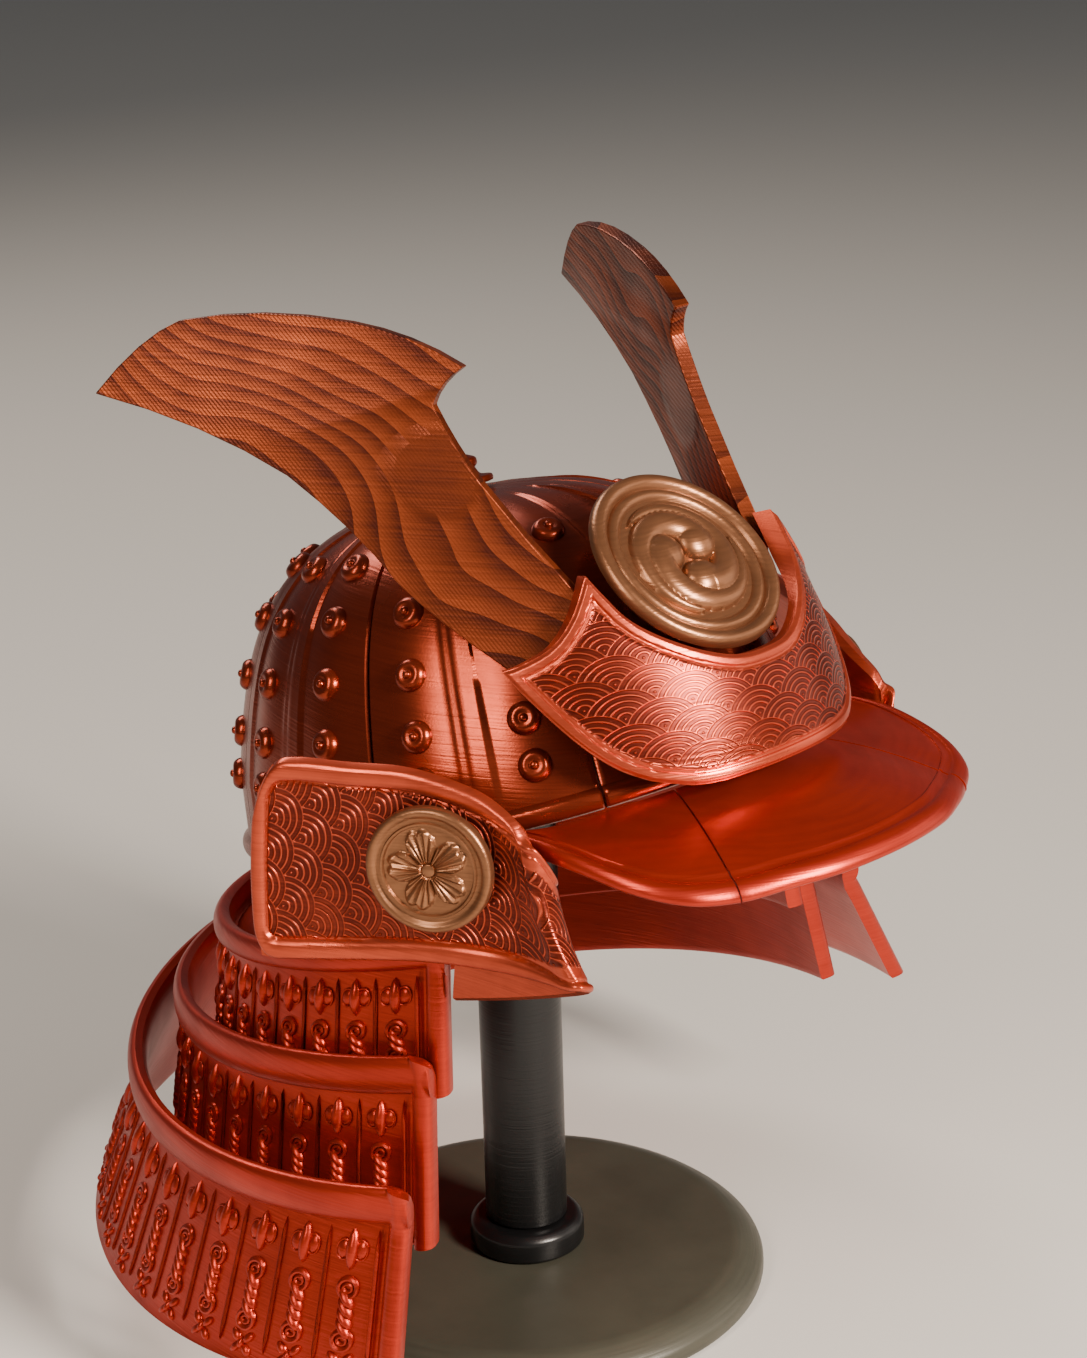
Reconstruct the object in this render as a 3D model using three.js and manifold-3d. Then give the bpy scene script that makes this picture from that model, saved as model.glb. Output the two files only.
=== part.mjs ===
// Miniature kabuto (samurai helmet) on its display stand, in millimetres, +Z up.
// The origin is the centre of the base's underside. The wearer looks along -Y and the
// wearer's right hand is on the -X side. Every helmet piece is laid out in the helmet's own
// frame, whose origin is the centre of the bowl's rim, and the whole helmet leans back.
import * as THREE from 'three';
import { mergeVertices } from 'three/addons/utils/BufferGeometryUtils.js';
import Module from 'manifold-3d';

const wasm = await Module();
wasm.setup();

// ---------------------------------------------------------------- driving dimensions (mm)
const GAP = 0.35; // clearance between pieces that touch on the real object

const STAND = { baseRadius: 49.7, topRadius: 44, baseHeight: 7, collarRadius: 12, collarHeight: 6,
  poleRadius: 8.5, capBottom: 146, capTop: 153, capRadius: 15 };

const HELMET = { leanBack: THREE.MathUtils.degToRad(-17.7), y: -1, z: 112.2 };

const BOWL = { halfWidth: 47.2, halfLength: 56, height: 55.5, roundness: 2.7, backLonger: 0.05,
  skirtFlare: 0.1, rimDropAtBack: 7.9, y: -4, z: 2.1, leanForward: THREE.MathUtils.degToRad(2.3), wall: 2.4,
  crownHole: 4.6, columns: 16, flute: 0.5, beadHeight: 4.2, beadDepth: 1.5 };
const SEAM_COLUMNS = [1.5, 3.5, 6.5]; // seams lie between columns, counted from the front
const RIVET = { radius: 2.75, shoulder: 1.6, shoulderHeight: 1.1, height: 1.7 };
const RIVET_ROWS = [5.4, 12.6, 24.2, 38.7, 54.7]; // elevation on the bowl, degrees

const FINIAL = { flangeRadius: 6.2, height: 7 };

const VISOR = { wall: 2.4, beadRadius: 1.7, arch: 1.6 };
// The visor from the middle to one end: `around` is the angle round the bowl of its inner
// edge; x, y and z are its rim there. The row with `seam` is where two segments meet.
const VISOR_RIM = [
  { around: 0, x: 0, y: -94.8, z: -17.8 },
  { around: 7, x: 14, y: -93, z: -17.7 },
  { around: 13.5, x: 24, y: -89, z: -17.3 },
  { around: 19.5, x: 32.7, y: -84.2, z: -17, seam: true },
  { around: 26, x: 40.4, y: -79.4, z: -15 },
  { around: 34, x: 45.4, y: -71.4, z: -11 },
  { around: 42, x: 47.4, y: -60.6, z: -5.8 },
  { around: 50, x: 47.2, y: -51, z: -2.8 },
  { around: 58, x: 46.2, y: -42, z: -1.6 },
];

const PLATE = { wall: 2.4, length: 75.4, hollow: 0.004, widthRatio: 0.777 };
// Outline of the horn holder, from the middle to one end: the angle round the front, and the
// heights of its lower and upper edges there. The last row is its outer corner.
const PLATE_OUTLINE = [
  { angle: 0, lower: -0.2, upper: 20.0 },
  { angle: 6.6, lower: -0.2, upper: 20.5 },
  { angle: 12.4, lower: -0.1, upper: 22.7 },
  { angle: 17.4, lower: 0.1, upper: 25.7 },
  { angle: 21.9, lower: 0.8, upper: 29.2 },
  { angle: 25.1, lower: 2.0, upper: 32.8 },
  { angle: 27.5, lower: 3.0, upper: 37.5 },
  { angle: 29.2, lower: 3.8, upper: 41.3 },
  { angle: 33.7, lower: 7.2, upper: 35.0 },
  { angle: 38.4, lower: 12.8, upper: 30.9 },
  { angle: 44.1, lower: 22.3, upper: 29.0 },
  { angle: 47.2, lower: 28.4, upper: 28.6 },
];

const HORN = { x: 23.4, y: -57.7, sweep: [0.485, 0.875], wall: 3 };

const DISC = { radius: 19.6, thickness: 3.4, y: -60.5, z: 38.4, upward: 32.7, postRadius: 5 };

const TURNBACK = { wall: 2.2 };
// The turn-back's sections, from its root beside the first neck tier, forward along the
// inner leg, round the fold and back along the outer leg to the free edge. `bow` draws the
// middle of a section backwards.
const TURNBACK_SECTIONS = [
  { x: 48.2, yTop: -32, zTop: -8, yFoot: -22, zFoot: -30, bow: 0 },
  { x: 46.9, yTop: -42, zTop: -8, yFoot: -36, zFoot: -30.4, bow: 0 },
  { x: 46.3, yTop: -51, zTop: -8, yFoot: -50, zFoot: -30, bow: 0 },
  { x: 47.6, yTop: -54.6, zTop: -7.4, yFoot: -56.8, zFoot: -29, bow: 1.6 },
  { x: 50.6, yTop: -56, zTop: -1.5, yFoot: -58.6, zFoot: -27.6, bow: 2.8 },
  { x: 50.9, yTop: -54.6, zTop: 0.9, yFoot: -56.4, zFoot: -27.2, bow: 2 },
  { x: 50.6, yTop: -53.4, zTop: 3.6, yFoot: -52.3, zFoot: -26.3, bow: 0.8 },
  { x: 50.8, yTop: -50.4, zTop: 6.9, yFoot: -46.9, zFoot: -24.9, bow: 0.4 },
  { x: 51.8, yTop: -46.8, zTop: 10.2, yFoot: -41, zFoot: -23.3, bow: 0 },
  { x: 54.8, yTop: -41.2, zTop: 14.2, yFoot: -33.3, zFoot: -20.8, bow: 0 },
  { x: 58, yTop: -35.3, zTop: 17.3, yFoot: -24.1, zFoot: -18.7, bow: 0 },
  { x: 62.4, yTop: -27.5, zTop: 19.8, yFoot: -13, zFoot: -16.7, bow: 0.4 },
  { x: 66.8, yTop: -19.7, zTop: 22.5, yFoot: -4.3, zFoot: -14.9, bow: 0.8 },
  { x: 69, yTop: -15.2, zTop: 22.5, yFoot: 0.1, zFoot: -14, bow: 1.2 },
  { x: 70, yTop: -9.5, zTop: 17.9, yFoot: 2.4, zFoot: -13.3, bow: 1.7 },
];

const MEDALLION = { radius: 11.8, thickness: 2.6, x: 60.4, y: -38, z: -1.7, facing: [-0.89, -0.44, -0.1] };

// The neck guard's tiers: each is a ring open at the front. Half width, half length and
// centre are those of its top band, which lies in the plane z = height + rise * y + skew * x:
// the tiers hang from one another, each a little lower on the wearer's right. `backward` is
// how far the skirt runs back for each millimetre that it hangs down.
const TIERS = [
  { name: 'neck_tier_1', halfWidth: 55.8, halfLength: 62.8, centre: 8.7, height: -18, rise: 0.07,
    skew: 0.02, open: 59.8, depth: 26.5, flare: 3.7, backward: 0.3 },
  { name: 'neck_tier_2', halfWidth: 61.5, halfLength: 77.5, centre: 13.4, height: -33.5, rise: 0.11,
    skew: 0.08, open: 65.1, depth: 33.9, flare: 5.7, backward: 0.34 },
  { name: 'neck_tier_3', halfWidth: 75.6, halfLength: 84.7, centre: 15.6, height: -46.3, rise: 0.2,
    skew: 0.15, open: 65.5, depth: 33, flare: 12.8, backward: 0.45 },
];
const TIER = { wall: 2, roll: 2, bandHeight: 5.2, corner: 3 };
const FLANGE = { wall: 2, drop: 9, taper: 2.4, open: 78 };

// ---------------------------------------------------------------- materials
const paint = (color, metalness, roughness) =>
  new THREE.MeshStandardMaterial({ color, metalness, roughness });
const MATERIALS = {
  bowl: paint(0x8a3a1c, 0.45, 0.34),
  red: paint(0xb03a22, 0.35, 0.36),
  horn: paint(0x9a4a24, 0.4, 0.42),
  bronze: paint(0x84643f, 0.6, 0.4),
  base: paint(0x35362f, 0.1, 0.55),
  pole: paint(0x0c0c0d, 0.3, 0.35),
};

// ---------------------------------------------------------------- helpers
const rad = THREE.MathUtils.degToRad;
const lerp = THREE.MathUtils.lerp;
const steps = (from, to, count) =>
  Array.from({ length: count + 1 }, (_, i) => lerp(from, to, i / count));

// A closed mesh from points and faces: shared points merged, empty faces dropped, facing out.
function closedGeometry(points, faces) {
  const soup = new THREE.BufferGeometry();
  soup.setAttribute('position', new THREE.Float32BufferAttribute(points.flatMap((p) => p.toArray()), 3));
  soup.setIndex(faces.flat());
  const merged = mergeVertices(soup, 1e-3);
  const index = Array.from(merged.index.array);
  const kept = [];
  for (let i = 0; i < index.length; i += 3) {
    const [a, b, c] = index.slice(i, i + 3);
    if (a !== b && b !== c && c !== a) kept.push(a, b, c);
  }
  merged.setIndex(signedVolume(merged, kept) < 0 ? kept.reverse() : kept);
  return merged;
}

function signedVolume(geometry, index) {
  const p = geometry.getAttribute('position');
  const corner = (i) => new THREE.Vector3().fromBufferAttribute(p, i);
  let volume = 0;
  for (let i = 0; i < index.length; i += 3) {
    const [a, b, c] = index.slice(i, i + 3).map(corner);
    volume += a.dot(b.cross(c));
  }
  return volume;
}

// A closed wall between an outer and an inner sheet: rows of points with the same layout.
function wallBetween(outer, inner) {
  const rows = outer.length;
  const columns = outer[0].length;
  const points = [...outer.flat(), ...inner.flat()];
  const out = (i, j) => i * columns + j;
  const inn = (i, j) => rows * columns + i * columns + j;
  const faces = [];
  const quad = (a, b, c, d) => faces.push([a, b, c], [a, c, d]);
  for (let i = 0; i < rows - 1; i++) {
    for (let j = 0; j < columns - 1; j++) {
      quad(out(i, j), out(i, j + 1), out(i + 1, j + 1), out(i + 1, j));
      quad(inn(i, j), inn(i + 1, j), inn(i + 1, j + 1), inn(i, j + 1));
    }
    quad(out(i, 0), out(i + 1, 0), inn(i + 1, 0), inn(i, 0));
    quad(out(i + 1, columns - 1), out(i, columns - 1), inn(i, columns - 1), inn(i + 1, columns - 1));
  }
  for (let j = 0; j < columns - 1; j++) {
    quad(out(0, j + 1), out(0, j), inn(0, j), inn(0, j + 1));
    quad(out(rows - 1, j), out(rows - 1, j + 1), inn(rows - 1, j + 1), inn(rows - 1, j));
  }
  return closedGeometry(points, faces);
}

// Manifold solids and back, for joins and cuts.
function toSolid(geometry) {
  const bare = geometry.index ? geometry.clone() : mergeVertices(geometry.clone());
  bare.deleteAttribute('normal');
  bare.deleteAttribute('uv');
  const merged = mergeVertices(bare, 1e-4);
  return new wasm.Manifold(new wasm.Mesh({ numProp: 3,
    vertProperties: new Float32Array(merged.getAttribute('position').array),
    triVerts: new Uint32Array(merged.index.array) }));
}

function toGeometry(solid) {
  const mesh = solid.getMesh();
  const geometry = new THREE.BufferGeometry();
  geometry.setAttribute('position', new THREE.BufferAttribute(mesh.vertProperties, 3));
  geometry.setIndex(new THREE.BufferAttribute(mesh.triVerts, 1));
  return geometry;
}

// A turned solid about +Z from [radius, z] pairs that start and end on the axis.
function turned(profile, sides) {
  const lathe = new THREE.LatheGeometry(profile.map(([r, z]) => new THREE.Vector2(r, z)), sides);
  lathe.rotateX(Math.PI / 2);
  return lathe;
}

// Place a solid made along +Z so that its +Z points along `axis` from `at`.
function aimed(geometry, at, axis) {
  const upright = new THREE.Vector3(0, 0, 1);
  const turn = new THREE.Quaternion().setFromUnitVectors(upright, axis.clone().normalize());
  return geometry.applyMatrix4(new THREE.Matrix4().compose(at, turn, new THREE.Vector3(1, 1, 1)));
}

// The wearer's left copy of a piece made on the right (-X) side.
function mirrored(geometry) {
  const copy = geometry.clone().scale(-1, 1, 1);
  copy.setIndex(Array.from(copy.index.array).reverse());
  return copy;
}

const helmet = new THREE.Group();
helmet.position.set(0, HELMET.y, HELMET.z);
helmet.rotation.x = HELMET.leanBack;
const kabuto = new THREE.Group();
kabuto.add(helmet);

function add(group, name, geometry, material) {
  geometry.deleteAttribute('normal');
  geometry.deleteAttribute('uv');
  geometry.computeVertexNormals();
  const mesh = new THREE.Mesh(geometry, material);
  mesh.name = name;
  group.add(mesh);
}

// ---------------------------------------------------------------- bowl
const SIDEWAYS = new THREE.Vector3(1, 0, 0);
const BOWL_CENTRE = new THREE.Vector3(0, BOWL.y, BOWL.z);

// A point of the bowl's outer skin grown by `grow`; azimuth 0 is the front and grows towards
// the wearer's right, elevation 0 is the widest level and 90 degrees the crown.
function bowlPoint(azimuth, elevation, grow = 0) {
  const flare = BOWL.skirtFlare * (1 - Math.sin(elevation)) ** 4;
  const ring = Math.cos(elevation) ** (2 / BOWL.roundness) + flare;
  const rise = Math.sin(elevation) ** (2 / BOWL.roundness);
  const length = (BOWL.halfLength + grow) * (1 - BOWL.backLonger * Math.cos(azimuth));
  const point = new THREE.Vector3(
    -(BOWL.halfWidth + grow) * Math.sin(azimuth) * ring,
    -length * Math.cos(azimuth) * ring,
    (BOWL.height + grow) * rise);
  return point.applyAxisAngle(SIDEWAYS, BOWL.leanForward).add(BOWL_CENTRE);
}

// A point at a height above the rim's lower edge, which drops from the front to the back.
function rimPoint(azimuth, height, grow) {
  const point = bowlPoint(azimuth, 0, grow);
  point.z += height - BOWL.rimDropAtBack * (1 - Math.cos(azimuth)) / 2;
  return point;
}

function bowlNormal(azimuth, elevation) {
  const step = 1e-3;
  const here = bowlPoint(azimuth, elevation);
  const along = bowlPoint(azimuth + step, elevation).sub(here);
  const up = bowlPoint(azimuth, elevation + step).sub(here);
  return up.cross(along).normalize();
}

// Elevation at which the skin meets the crown hole.
const crownElevation = Math.acos((BOWL.crownHole / BOWL.halfWidth) ** (BOWL.roundness / 2));
const columnAngle = (2 * Math.PI) / BOWL.columns;

// Rows of the bowl's skin from the rim up: the rolled bead, then the skin by elevation.
const BEAD_ROWS = [0, 0.25, 0.75, 1].map((part) => ({
  height: part * BOWL.beadHeight, out: part === 0.25 || part === 0.75 ? BOWL.beadDepth : 0 }));
const SKIN_ROWS = [5.5, 14, 25, 38, 52, 66].map(rad);

// One printed bowl segment between two seams, given in columns from the front.
function bowlSegment(fromColumn, toColumn) {
  const halfColumns = Math.round((toColumn - fromColumn) * 2);
  const azimuths = steps(fromColumn * columnAngle, toColumn * columnAngle, halfColumns);
  const drawIn = (point, azimuth, elevation, j) => {
    const edge = j === 0 ? 1 : j === halfColumns ? -1 : 0;
    const aside = bowlPoint(azimuth + 0.01, elevation).sub(bowlPoint(azimuth, elevation)).normalize();
    return point.addScaledVector(aside, edge * GAP / 2);
  };
  const sheet = (grow, outside) => [
    ...BEAD_ROWS.map(({ height, out }) => azimuths.map((azimuth, j) =>
      drawIn(rimPoint(azimuth, height, grow + outside * out), azimuth, 0, j))),
    ...[...SKIN_ROWS, crownElevation].map((elevation) => azimuths.map((azimuth, j) => {
      const bulge = outside * (j % 2) * BOWL.flute * Math.cos(elevation);
      return drawIn(bowlPoint(azimuth, elevation, grow + bulge), azimuth, elevation, j);
    }))];
  let solid = toSolid(wallBetween(sheet(0, 1), sheet(-BOWL.wall, 0)));
  for (let column = Math.ceil(fromColumn); column < toColumn; column++) {
    for (const row of RIVET_ROWS) {
      if (behindHornHolder(column, row)) continue;
      solid = solid.add(rivet(column * columnAngle, rad(row)));
    }
  }
  return toGeometry(solid);
}

// The front columns carry no rivets where the horn holder, the disc and the horns lie on them.
function behindHornHolder(column, row) {
  const fromFront = Math.abs(column);
  const from = [0, 0, 20];
  const to = [60, 45, 60];
  return fromFront < from.length && row > from[fromFront] && row < to[fromFront];
}

function rivet(azimuth, elevation) {
  const profile = [[0, -0.6], [RIVET.radius, -0.6], [RIVET.shoulder, RIVET.shoulderHeight + BOWL.flute],
    [0, RIVET.height + BOWL.flute]];
  return toSolid(aimed(turned(profile, 6), bowlPoint(azimuth, elevation), bowlNormal(azimuth, elevation)));
}

function addBowl() {
  const [front, temple, side] = SEAM_COLUMNS;
  const segments = [
    { name: 'bowl_front', from: -front, to: front },
    { name: 'bowl_temple_right', from: front, to: temple },
    { name: 'bowl_temple_left', from: -temple, to: -front },
    { name: 'bowl_side_right', from: temple, to: side },
    { name: 'bowl_side_left', from: -side, to: -temple },
    { name: 'bowl_back', from: side, to: BOWL.columns - side },
  ];
  for (const { name, from, to } of segments) add(helmet, name, bowlSegment(from, to), MATERIALS.bowl);
}

// ---------------------------------------------------------------- crown finial
function addFinial() {
  const top = bowlPoint(0, Math.PI / 2);
  const { flangeRadius: r, height: h } = FINIAL;
  const profile = [[0, -4], [BOWL.crownHole - 1.2, -4], [BOWL.crownHole - 1.2, 0.9], [r, 0.9], [r, 2.2],
    [0.62 * r, 2.6], [0.5 * r, 0.6 * h], [0.62 * r, 0.66 * h], [0.62 * r, 0.86 * h], [0.3 * r, h], [0, h]];
  add(helmet, 'crown_finial', turned(profile, 16).translate(top.x, top.y, top.z), MATERIALS.bowl);
}

// ---------------------------------------------------------------- visor
// A point of the visor between its inner edge (out 0) and its rim (out 1), for one row of the
// table on one side of the helmet; `lift` is measured upwards.
function visorPoint(row, side, out, lift) {
  const underRim = GAP + VISOR.wall / 2;
  const edge = rimPoint(rad(row.around), 0, 0.6);
  const inner = new THREE.Vector3(side * edge.x, edge.y, edge.z - underRim);
  const point = inner.lerp(new THREE.Vector3(-side * row.x, row.y, row.z), out);
  point.z += lift + VISOR.arch * Math.sin(Math.PI * out);
  return point;
}

// One visor segment over a run of rows, each with its side (1 is the wearer's right); `sides`
// of the run are drawn in by half the gap where the next segment begins.
function visorSegment(run) {
  const outs = [0, 0.35, 0.7, 0.93, 0.955, 1];
  const thickness = [1, 1, 1, 1, VISOR.beadRadius / (VISOR.wall / 2), 0.7];
  const sheet = (up) => outs.map((out, i) => run.map(({ row, side, drawIn }) => {
    const point = visorPoint(row, side, out, up * thickness[i] * VISOR.wall / 2);
    point.x += drawIn * GAP / 2;
    return point;
  }));
  return wallBetween(sheet(1), sheet(-1));
}

function addVisor() {
  const seam = VISOR_RIM.findIndex((row) => row.seam);
  const middleHalf = VISOR_RIM.slice(0, seam + 1);
  const sideHalf = VISOR_RIM.slice(seam);
  const along = (rows, side, drawIn) => rows.map((row) => ({ row, side, drawIn: row.seam ? drawIn : 0 }));
  const middle = [...along(middleHalf.slice(1), -1, -1).reverse(), ...along(middleHalf, 1, 1)];
  add(helmet, 'visor_middle', visorSegment(middle), MATERIALS.red);
  add(helmet, 'visor_right', visorSegment(along(sideHalf, 1, -1)), MATERIALS.red);
  add(helmet, 'visor_left', visorSegment(along(sideHalf, -1, 1)), MATERIALS.red);
}

// ---------------------------------------------------------------- horn holder (kuwagata-dai)
// A point of the holder's front face, `angle` degrees round from the middle at height z.
function holderPoint(angle, z, behind = 0) {
  const length = PLATE.length - PLATE.hollow * z * z - behind;
  const across = -length * PLATE.widthRatio * Math.sin(rad(angle));
  return new THREE.Vector3(across, -length * Math.cos(rad(angle)), z);
}

function addHornHolder() {
  const half = PLATE_OUTLINE.slice(1);
  const outline = [...half.map((row) => ({ ...row, angle: -row.angle })).reverse(), ...PLATE_OUTLINE];
  const sheet = (behind) => outline.map(({ angle, lower, upper }) =>
    steps(lower, upper, 3).map((z) => holderPoint(angle, z, behind)));
  add(helmet, 'horn_holder', wallBetween(sheet(0), sheet(PLATE.wall)), MATERIALS.red);
}

// ---------------------------------------------------------------- horns
// The blade's outline in its own plane: back along the sweep, and up.
function hornShape() {
  const blade = new THREE.Shape();
  blade.moveTo(6, 22);
  blade.lineTo(1, 36);
  blade.quadraticCurveTo(10, 51, 15, 62);
  blade.quadraticCurveTo(18, 69, 19.8, 76.8);
  blade.quadraticCurveTo(17.6, 80.4, 12.5, 82.1);
  blade.quadraticCurveTo(20.5, 90.2, 31, 94.7);
  blade.quadraticCurveTo(47, 101.6, 62.7, 102.6);
  blade.quadraticCurveTo(71, 101.6, 82.5, 93.6);
  blade.quadraticCurveTo(63, 83.5, 50.1, 70.7);
  blade.quadraticCurveTo(40, 58.5, 34.9, 47.5);
  blade.quadraticCurveTo(30, 39.5, 18, 27);
  blade.lineTo(14, 22);
  return blade;
}

function addHorns() {
  const flat = new THREE.ExtrudeGeometry(hornShape(), {
    depth: HORN.wall, bevelEnabled: false, curveSegments: 4,
  });
  const back = new THREE.Vector3(-HORN.sweep[0], HORN.sweep[1], 0);
  const up = new THREE.Vector3(0, 0, 1);
  const outward = new THREE.Vector3().crossVectors(back, up).negate();
  const origin = new THREE.Vector3(-HORN.x, HORN.y, 0).addScaledVector(outward, -HORN.wall / 2);
  const place = new THREE.Matrix4().makeBasis(back, up, outward).setPosition(origin);
  let blade = toSolid(closedFrom(flat.applyMatrix4(place)));
  blade = blade.subtract(toSolid(bowlEnvelope()));
  const right = toGeometry(blade);
  add(helmet, 'horn_right', right, MATERIALS.horn);
  add(helmet, 'horn_left', mirrored(right), MATERIALS.horn);
}

// Any three.js solid as a merged closed geometry facing out.
function closedFrom(geometry) {
  const bare = geometry.clone();
  bare.deleteAttribute('normal');
  bare.deleteAttribute('uv');
  const merged = mergeVertices(bare, 1e-4);
  const p = merged.getAttribute('position');
  const points = Array.from({ length: p.count }, (_, i) => new THREE.Vector3().fromBufferAttribute(p, i));
  const index = Array.from(merged.index.array);
  const faces = [];
  for (let i = 0; i < index.length; i += 3) faces.push(index.slice(i, i + 3));
  return closedGeometry(points, faces);
}

// The space that the bowl's skin takes with its clearance, for cutting what passes behind
// the holder.
function bowlEnvelope() {
  const clear = BOWL.flute + GAP;
  const around = 32;
  const rows = steps(0, Math.PI / 2 - 0.02, 9);
  const points = rows.flatMap((elevation) => steps(0, 2 * Math.PI, around).slice(0, around)
    .map((azimuth) => bowlPoint(azimuth, elevation, clear)));
  points.push(bowlPoint(0, Math.PI / 2, clear), BOWL_CENTRE);
  const faces = [];
  const at = (i, j) => i * around + (j % around);
  for (let j = 0; j < around; j++) {
    for (let i = 0; i < rows.length - 1; i++) {
      faces.push([at(i, j), at(i + 1, j), at(i + 1, j + 1)], [at(i, j), at(i + 1, j + 1), at(i, j + 1)]);
    }
    faces.push([at(rows.length - 1, j), points.length - 2, at(rows.length - 1, j + 1)]);
    faces.push([at(0, j), at(0, j + 1), points.length - 1]);
  }
  return closedGeometry(points, faces);
}

// ---------------------------------------------------------------- front disc
function addFrontDisc() {
  const { radius: r, thickness: t } = DISC;
  const back = [[0, -t - 5], [DISC.postRadius, -t - 5], [DISC.postRadius, -t], [r - 1.6, -t], [r, -t + 1.6]];
  const rim = [[r, -0.9], [r - 0.9, 0.2], [r - 2.4, 0.2], [r - 3.8, -0.9], [r - 6, 0], [r - 8.4, -1]];
  const profile = [...back, ...rim, [3, 0.3], [0, 0.5]];
  const facing = new THREE.Vector3(0, -Math.cos(rad(DISC.upward)), Math.sin(rad(DISC.upward)));
  const disc = toSolid(aimed(turned(profile, 28), new THREE.Vector3(0, DISC.y, DISC.z), facing));
  add(helmet, 'front_disc', toGeometry(disc.subtract(toSolid(bowlEnvelope()))), MATERIALS.bronze);
}

// ---------------------------------------------------------------- turn-backs (fukigaeshi)
function turnback() {
  const line = TURNBACK_SECTIONS.map((s) => ({
    top: new THREE.Vector3(-s.x, s.yTop, s.zTop),
    foot: new THREE.Vector3(-s.x, s.yFoot, s.zFoot),
    bow: s.bow,
  }));
  const centre = line.map(({ top, foot, bow }) => steps(0, 1, 4).map((part) => {
    const point = foot.clone().lerp(top, part);
    point.y += bow * 4 * part * (1 - part);
    return point;
  }));
  const sideways = centre.map((column, i) => {
    const before = centre[Math.max(i - 1, 0)];
    const after = centre[Math.min(i + 1, centre.length - 1)];
    return column.map((_, j) => {
      const along = after[j].clone().sub(before[j]);
      const up = column[column.length - 1].clone().sub(column[0]);
      return along.cross(up).normalize();
    });
  });
  const sheet = (side) => centre.map((column, i) => column.map((point, j) =>
    point.clone().addScaledVector(sideways[i][j], side * TURNBACK.wall / 2)));
  return wallBetween(sheet(1), sheet(-1));
}

function addTurnbacks() {
  const right = turnback();
  add(helmet, 'turnback_right', right, MATERIALS.red);
  add(helmet, 'turnback_left', mirrored(right), MATERIALS.red);
}

function addMedallions() {
  const { radius: r, thickness: t } = MEDALLION;
  const back = [[0, -t], [r - 0.6, -t], [r, -t + 0.6]];
  const rim = [[r, -0.6], [r - 0.7, 0], [r - 2.4, 0], [r - 3, -0.8]];
  const profile = [...back, ...rim, [3, -0.8], [2, 0], [0, 0.2]];
  const outward = new THREE.Vector3(...MEDALLION.facing);
  const at = new THREE.Vector3(-MEDALLION.x, MEDALLION.y, MEDALLION.z);
  const right = closedFrom(aimed(turned(profile, 28), at, outward));
  add(helmet, 'medallion_right', right, MATERIALS.bronze);
  add(helmet, 'medallion_left', mirrored(right), MATERIALS.bronze);
}

// ---------------------------------------------------------------- neck guard (shikoro)
// A point of a tier's ring: `azimuth` from the front, `down` below the band's plane, `out`
// beyond the band's line. The skirt hangs backwards as it goes down.
function tierPoint(spec, azimuth, down, out) {
  const x = -(spec.halfWidth + out) * Math.sin(azimuth);
  const y = spec.centre - (spec.halfLength + out) * Math.cos(azimuth);
  const z = spec.height + spec.rise * y + spec.skew * x - down;
  return new THREE.Vector3(x + spec.skew * down, y + spec.backward * down, z);
}

function tier(spec) {
  const open = rad(spec.open);
  const { wall, roll, bandHeight, corner } = TIER;
  const rounding = [1.4 / spec.halfWidth, 3.4 / spec.halfWidth];
  const start = [open, ...rounding.map((turn) => open + turn)];
  const middle = steps(open + 0.1, Math.PI, 12).slice(1);
  const half = [...start, ...middle];
  const azimuths = [...half, ...half.slice(0, -1).reverse().map((azimuth) => 2 * Math.PI - azimuth)];
  const below = (part) => ({ down: lerp(bandHeight, spec.depth, part), out: spec.flare * part });
  const outer = [{ down: -1.2 * roll, out: -0.6 * roll }, { down: -0.4 * roll, out: roll },
    { down: bandHeight - roll, out: roll }, { down: bandHeight, out: 0 }, below(0.5), below(1)];
  const inner = [{ down: -1.1 * roll, out: -1.2 * roll }, { down: -0.4 * roll, out: -wall },
    { down: bandHeight - roll, out: -wall }, { down: bandHeight + 1, out: -wall }, below(0.5), below(1)];
  const sheet = (rows, inwards) => rows.map(({ down, out }, i) => azimuths.map((azimuth, j) => {
    const fromEnd = Math.min(j, azimuths.length - 1 - j);
    const lowered = i < 2 ? Math.max(corner * (1 - fromEnd / 2), 0) ** 1.3 * (i === 0 ? 1 : 0.5) : 0;
    return tierPoint(spec, azimuth, down + lowered, i > 3 ? out - inwards : out);
  }));
  return wallBetween(sheet(outer, 0), sheet(inner, wall));
}

// The ring that hangs the first tier from the bowl: a short wall under the rim and a lip that
// runs out to the tier's inner face.
function neckFlange() {
  const open = rad(FLANGE.open);
  const azimuths = steps(open, 2 * Math.PI - open, 22);
  const [spec] = TIERS;
  const sheet = (inwards) => [
    azimuths.map((azimuth) => rimPoint(azimuth, -GAP, -inwards)),
    azimuths.map((azimuth) => rimPoint(azimuth, -FLANGE.drop, -FLANGE.taper - inwards)),
    azimuths.map((azimuth) => tierPoint(spec, azimuth, 3 + inwards, -TIER.wall - GAP - 0.2)),
  ];
  return wallBetween(sheet(0), sheet(FLANGE.wall));
}

function addNeckGuard() {
  add(helmet, 'neck_flange', neckFlange(), MATERIALS.red);
  for (const spec of TIERS) add(helmet, spec.name, tier(spec), MATERIALS.red);
}

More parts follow.
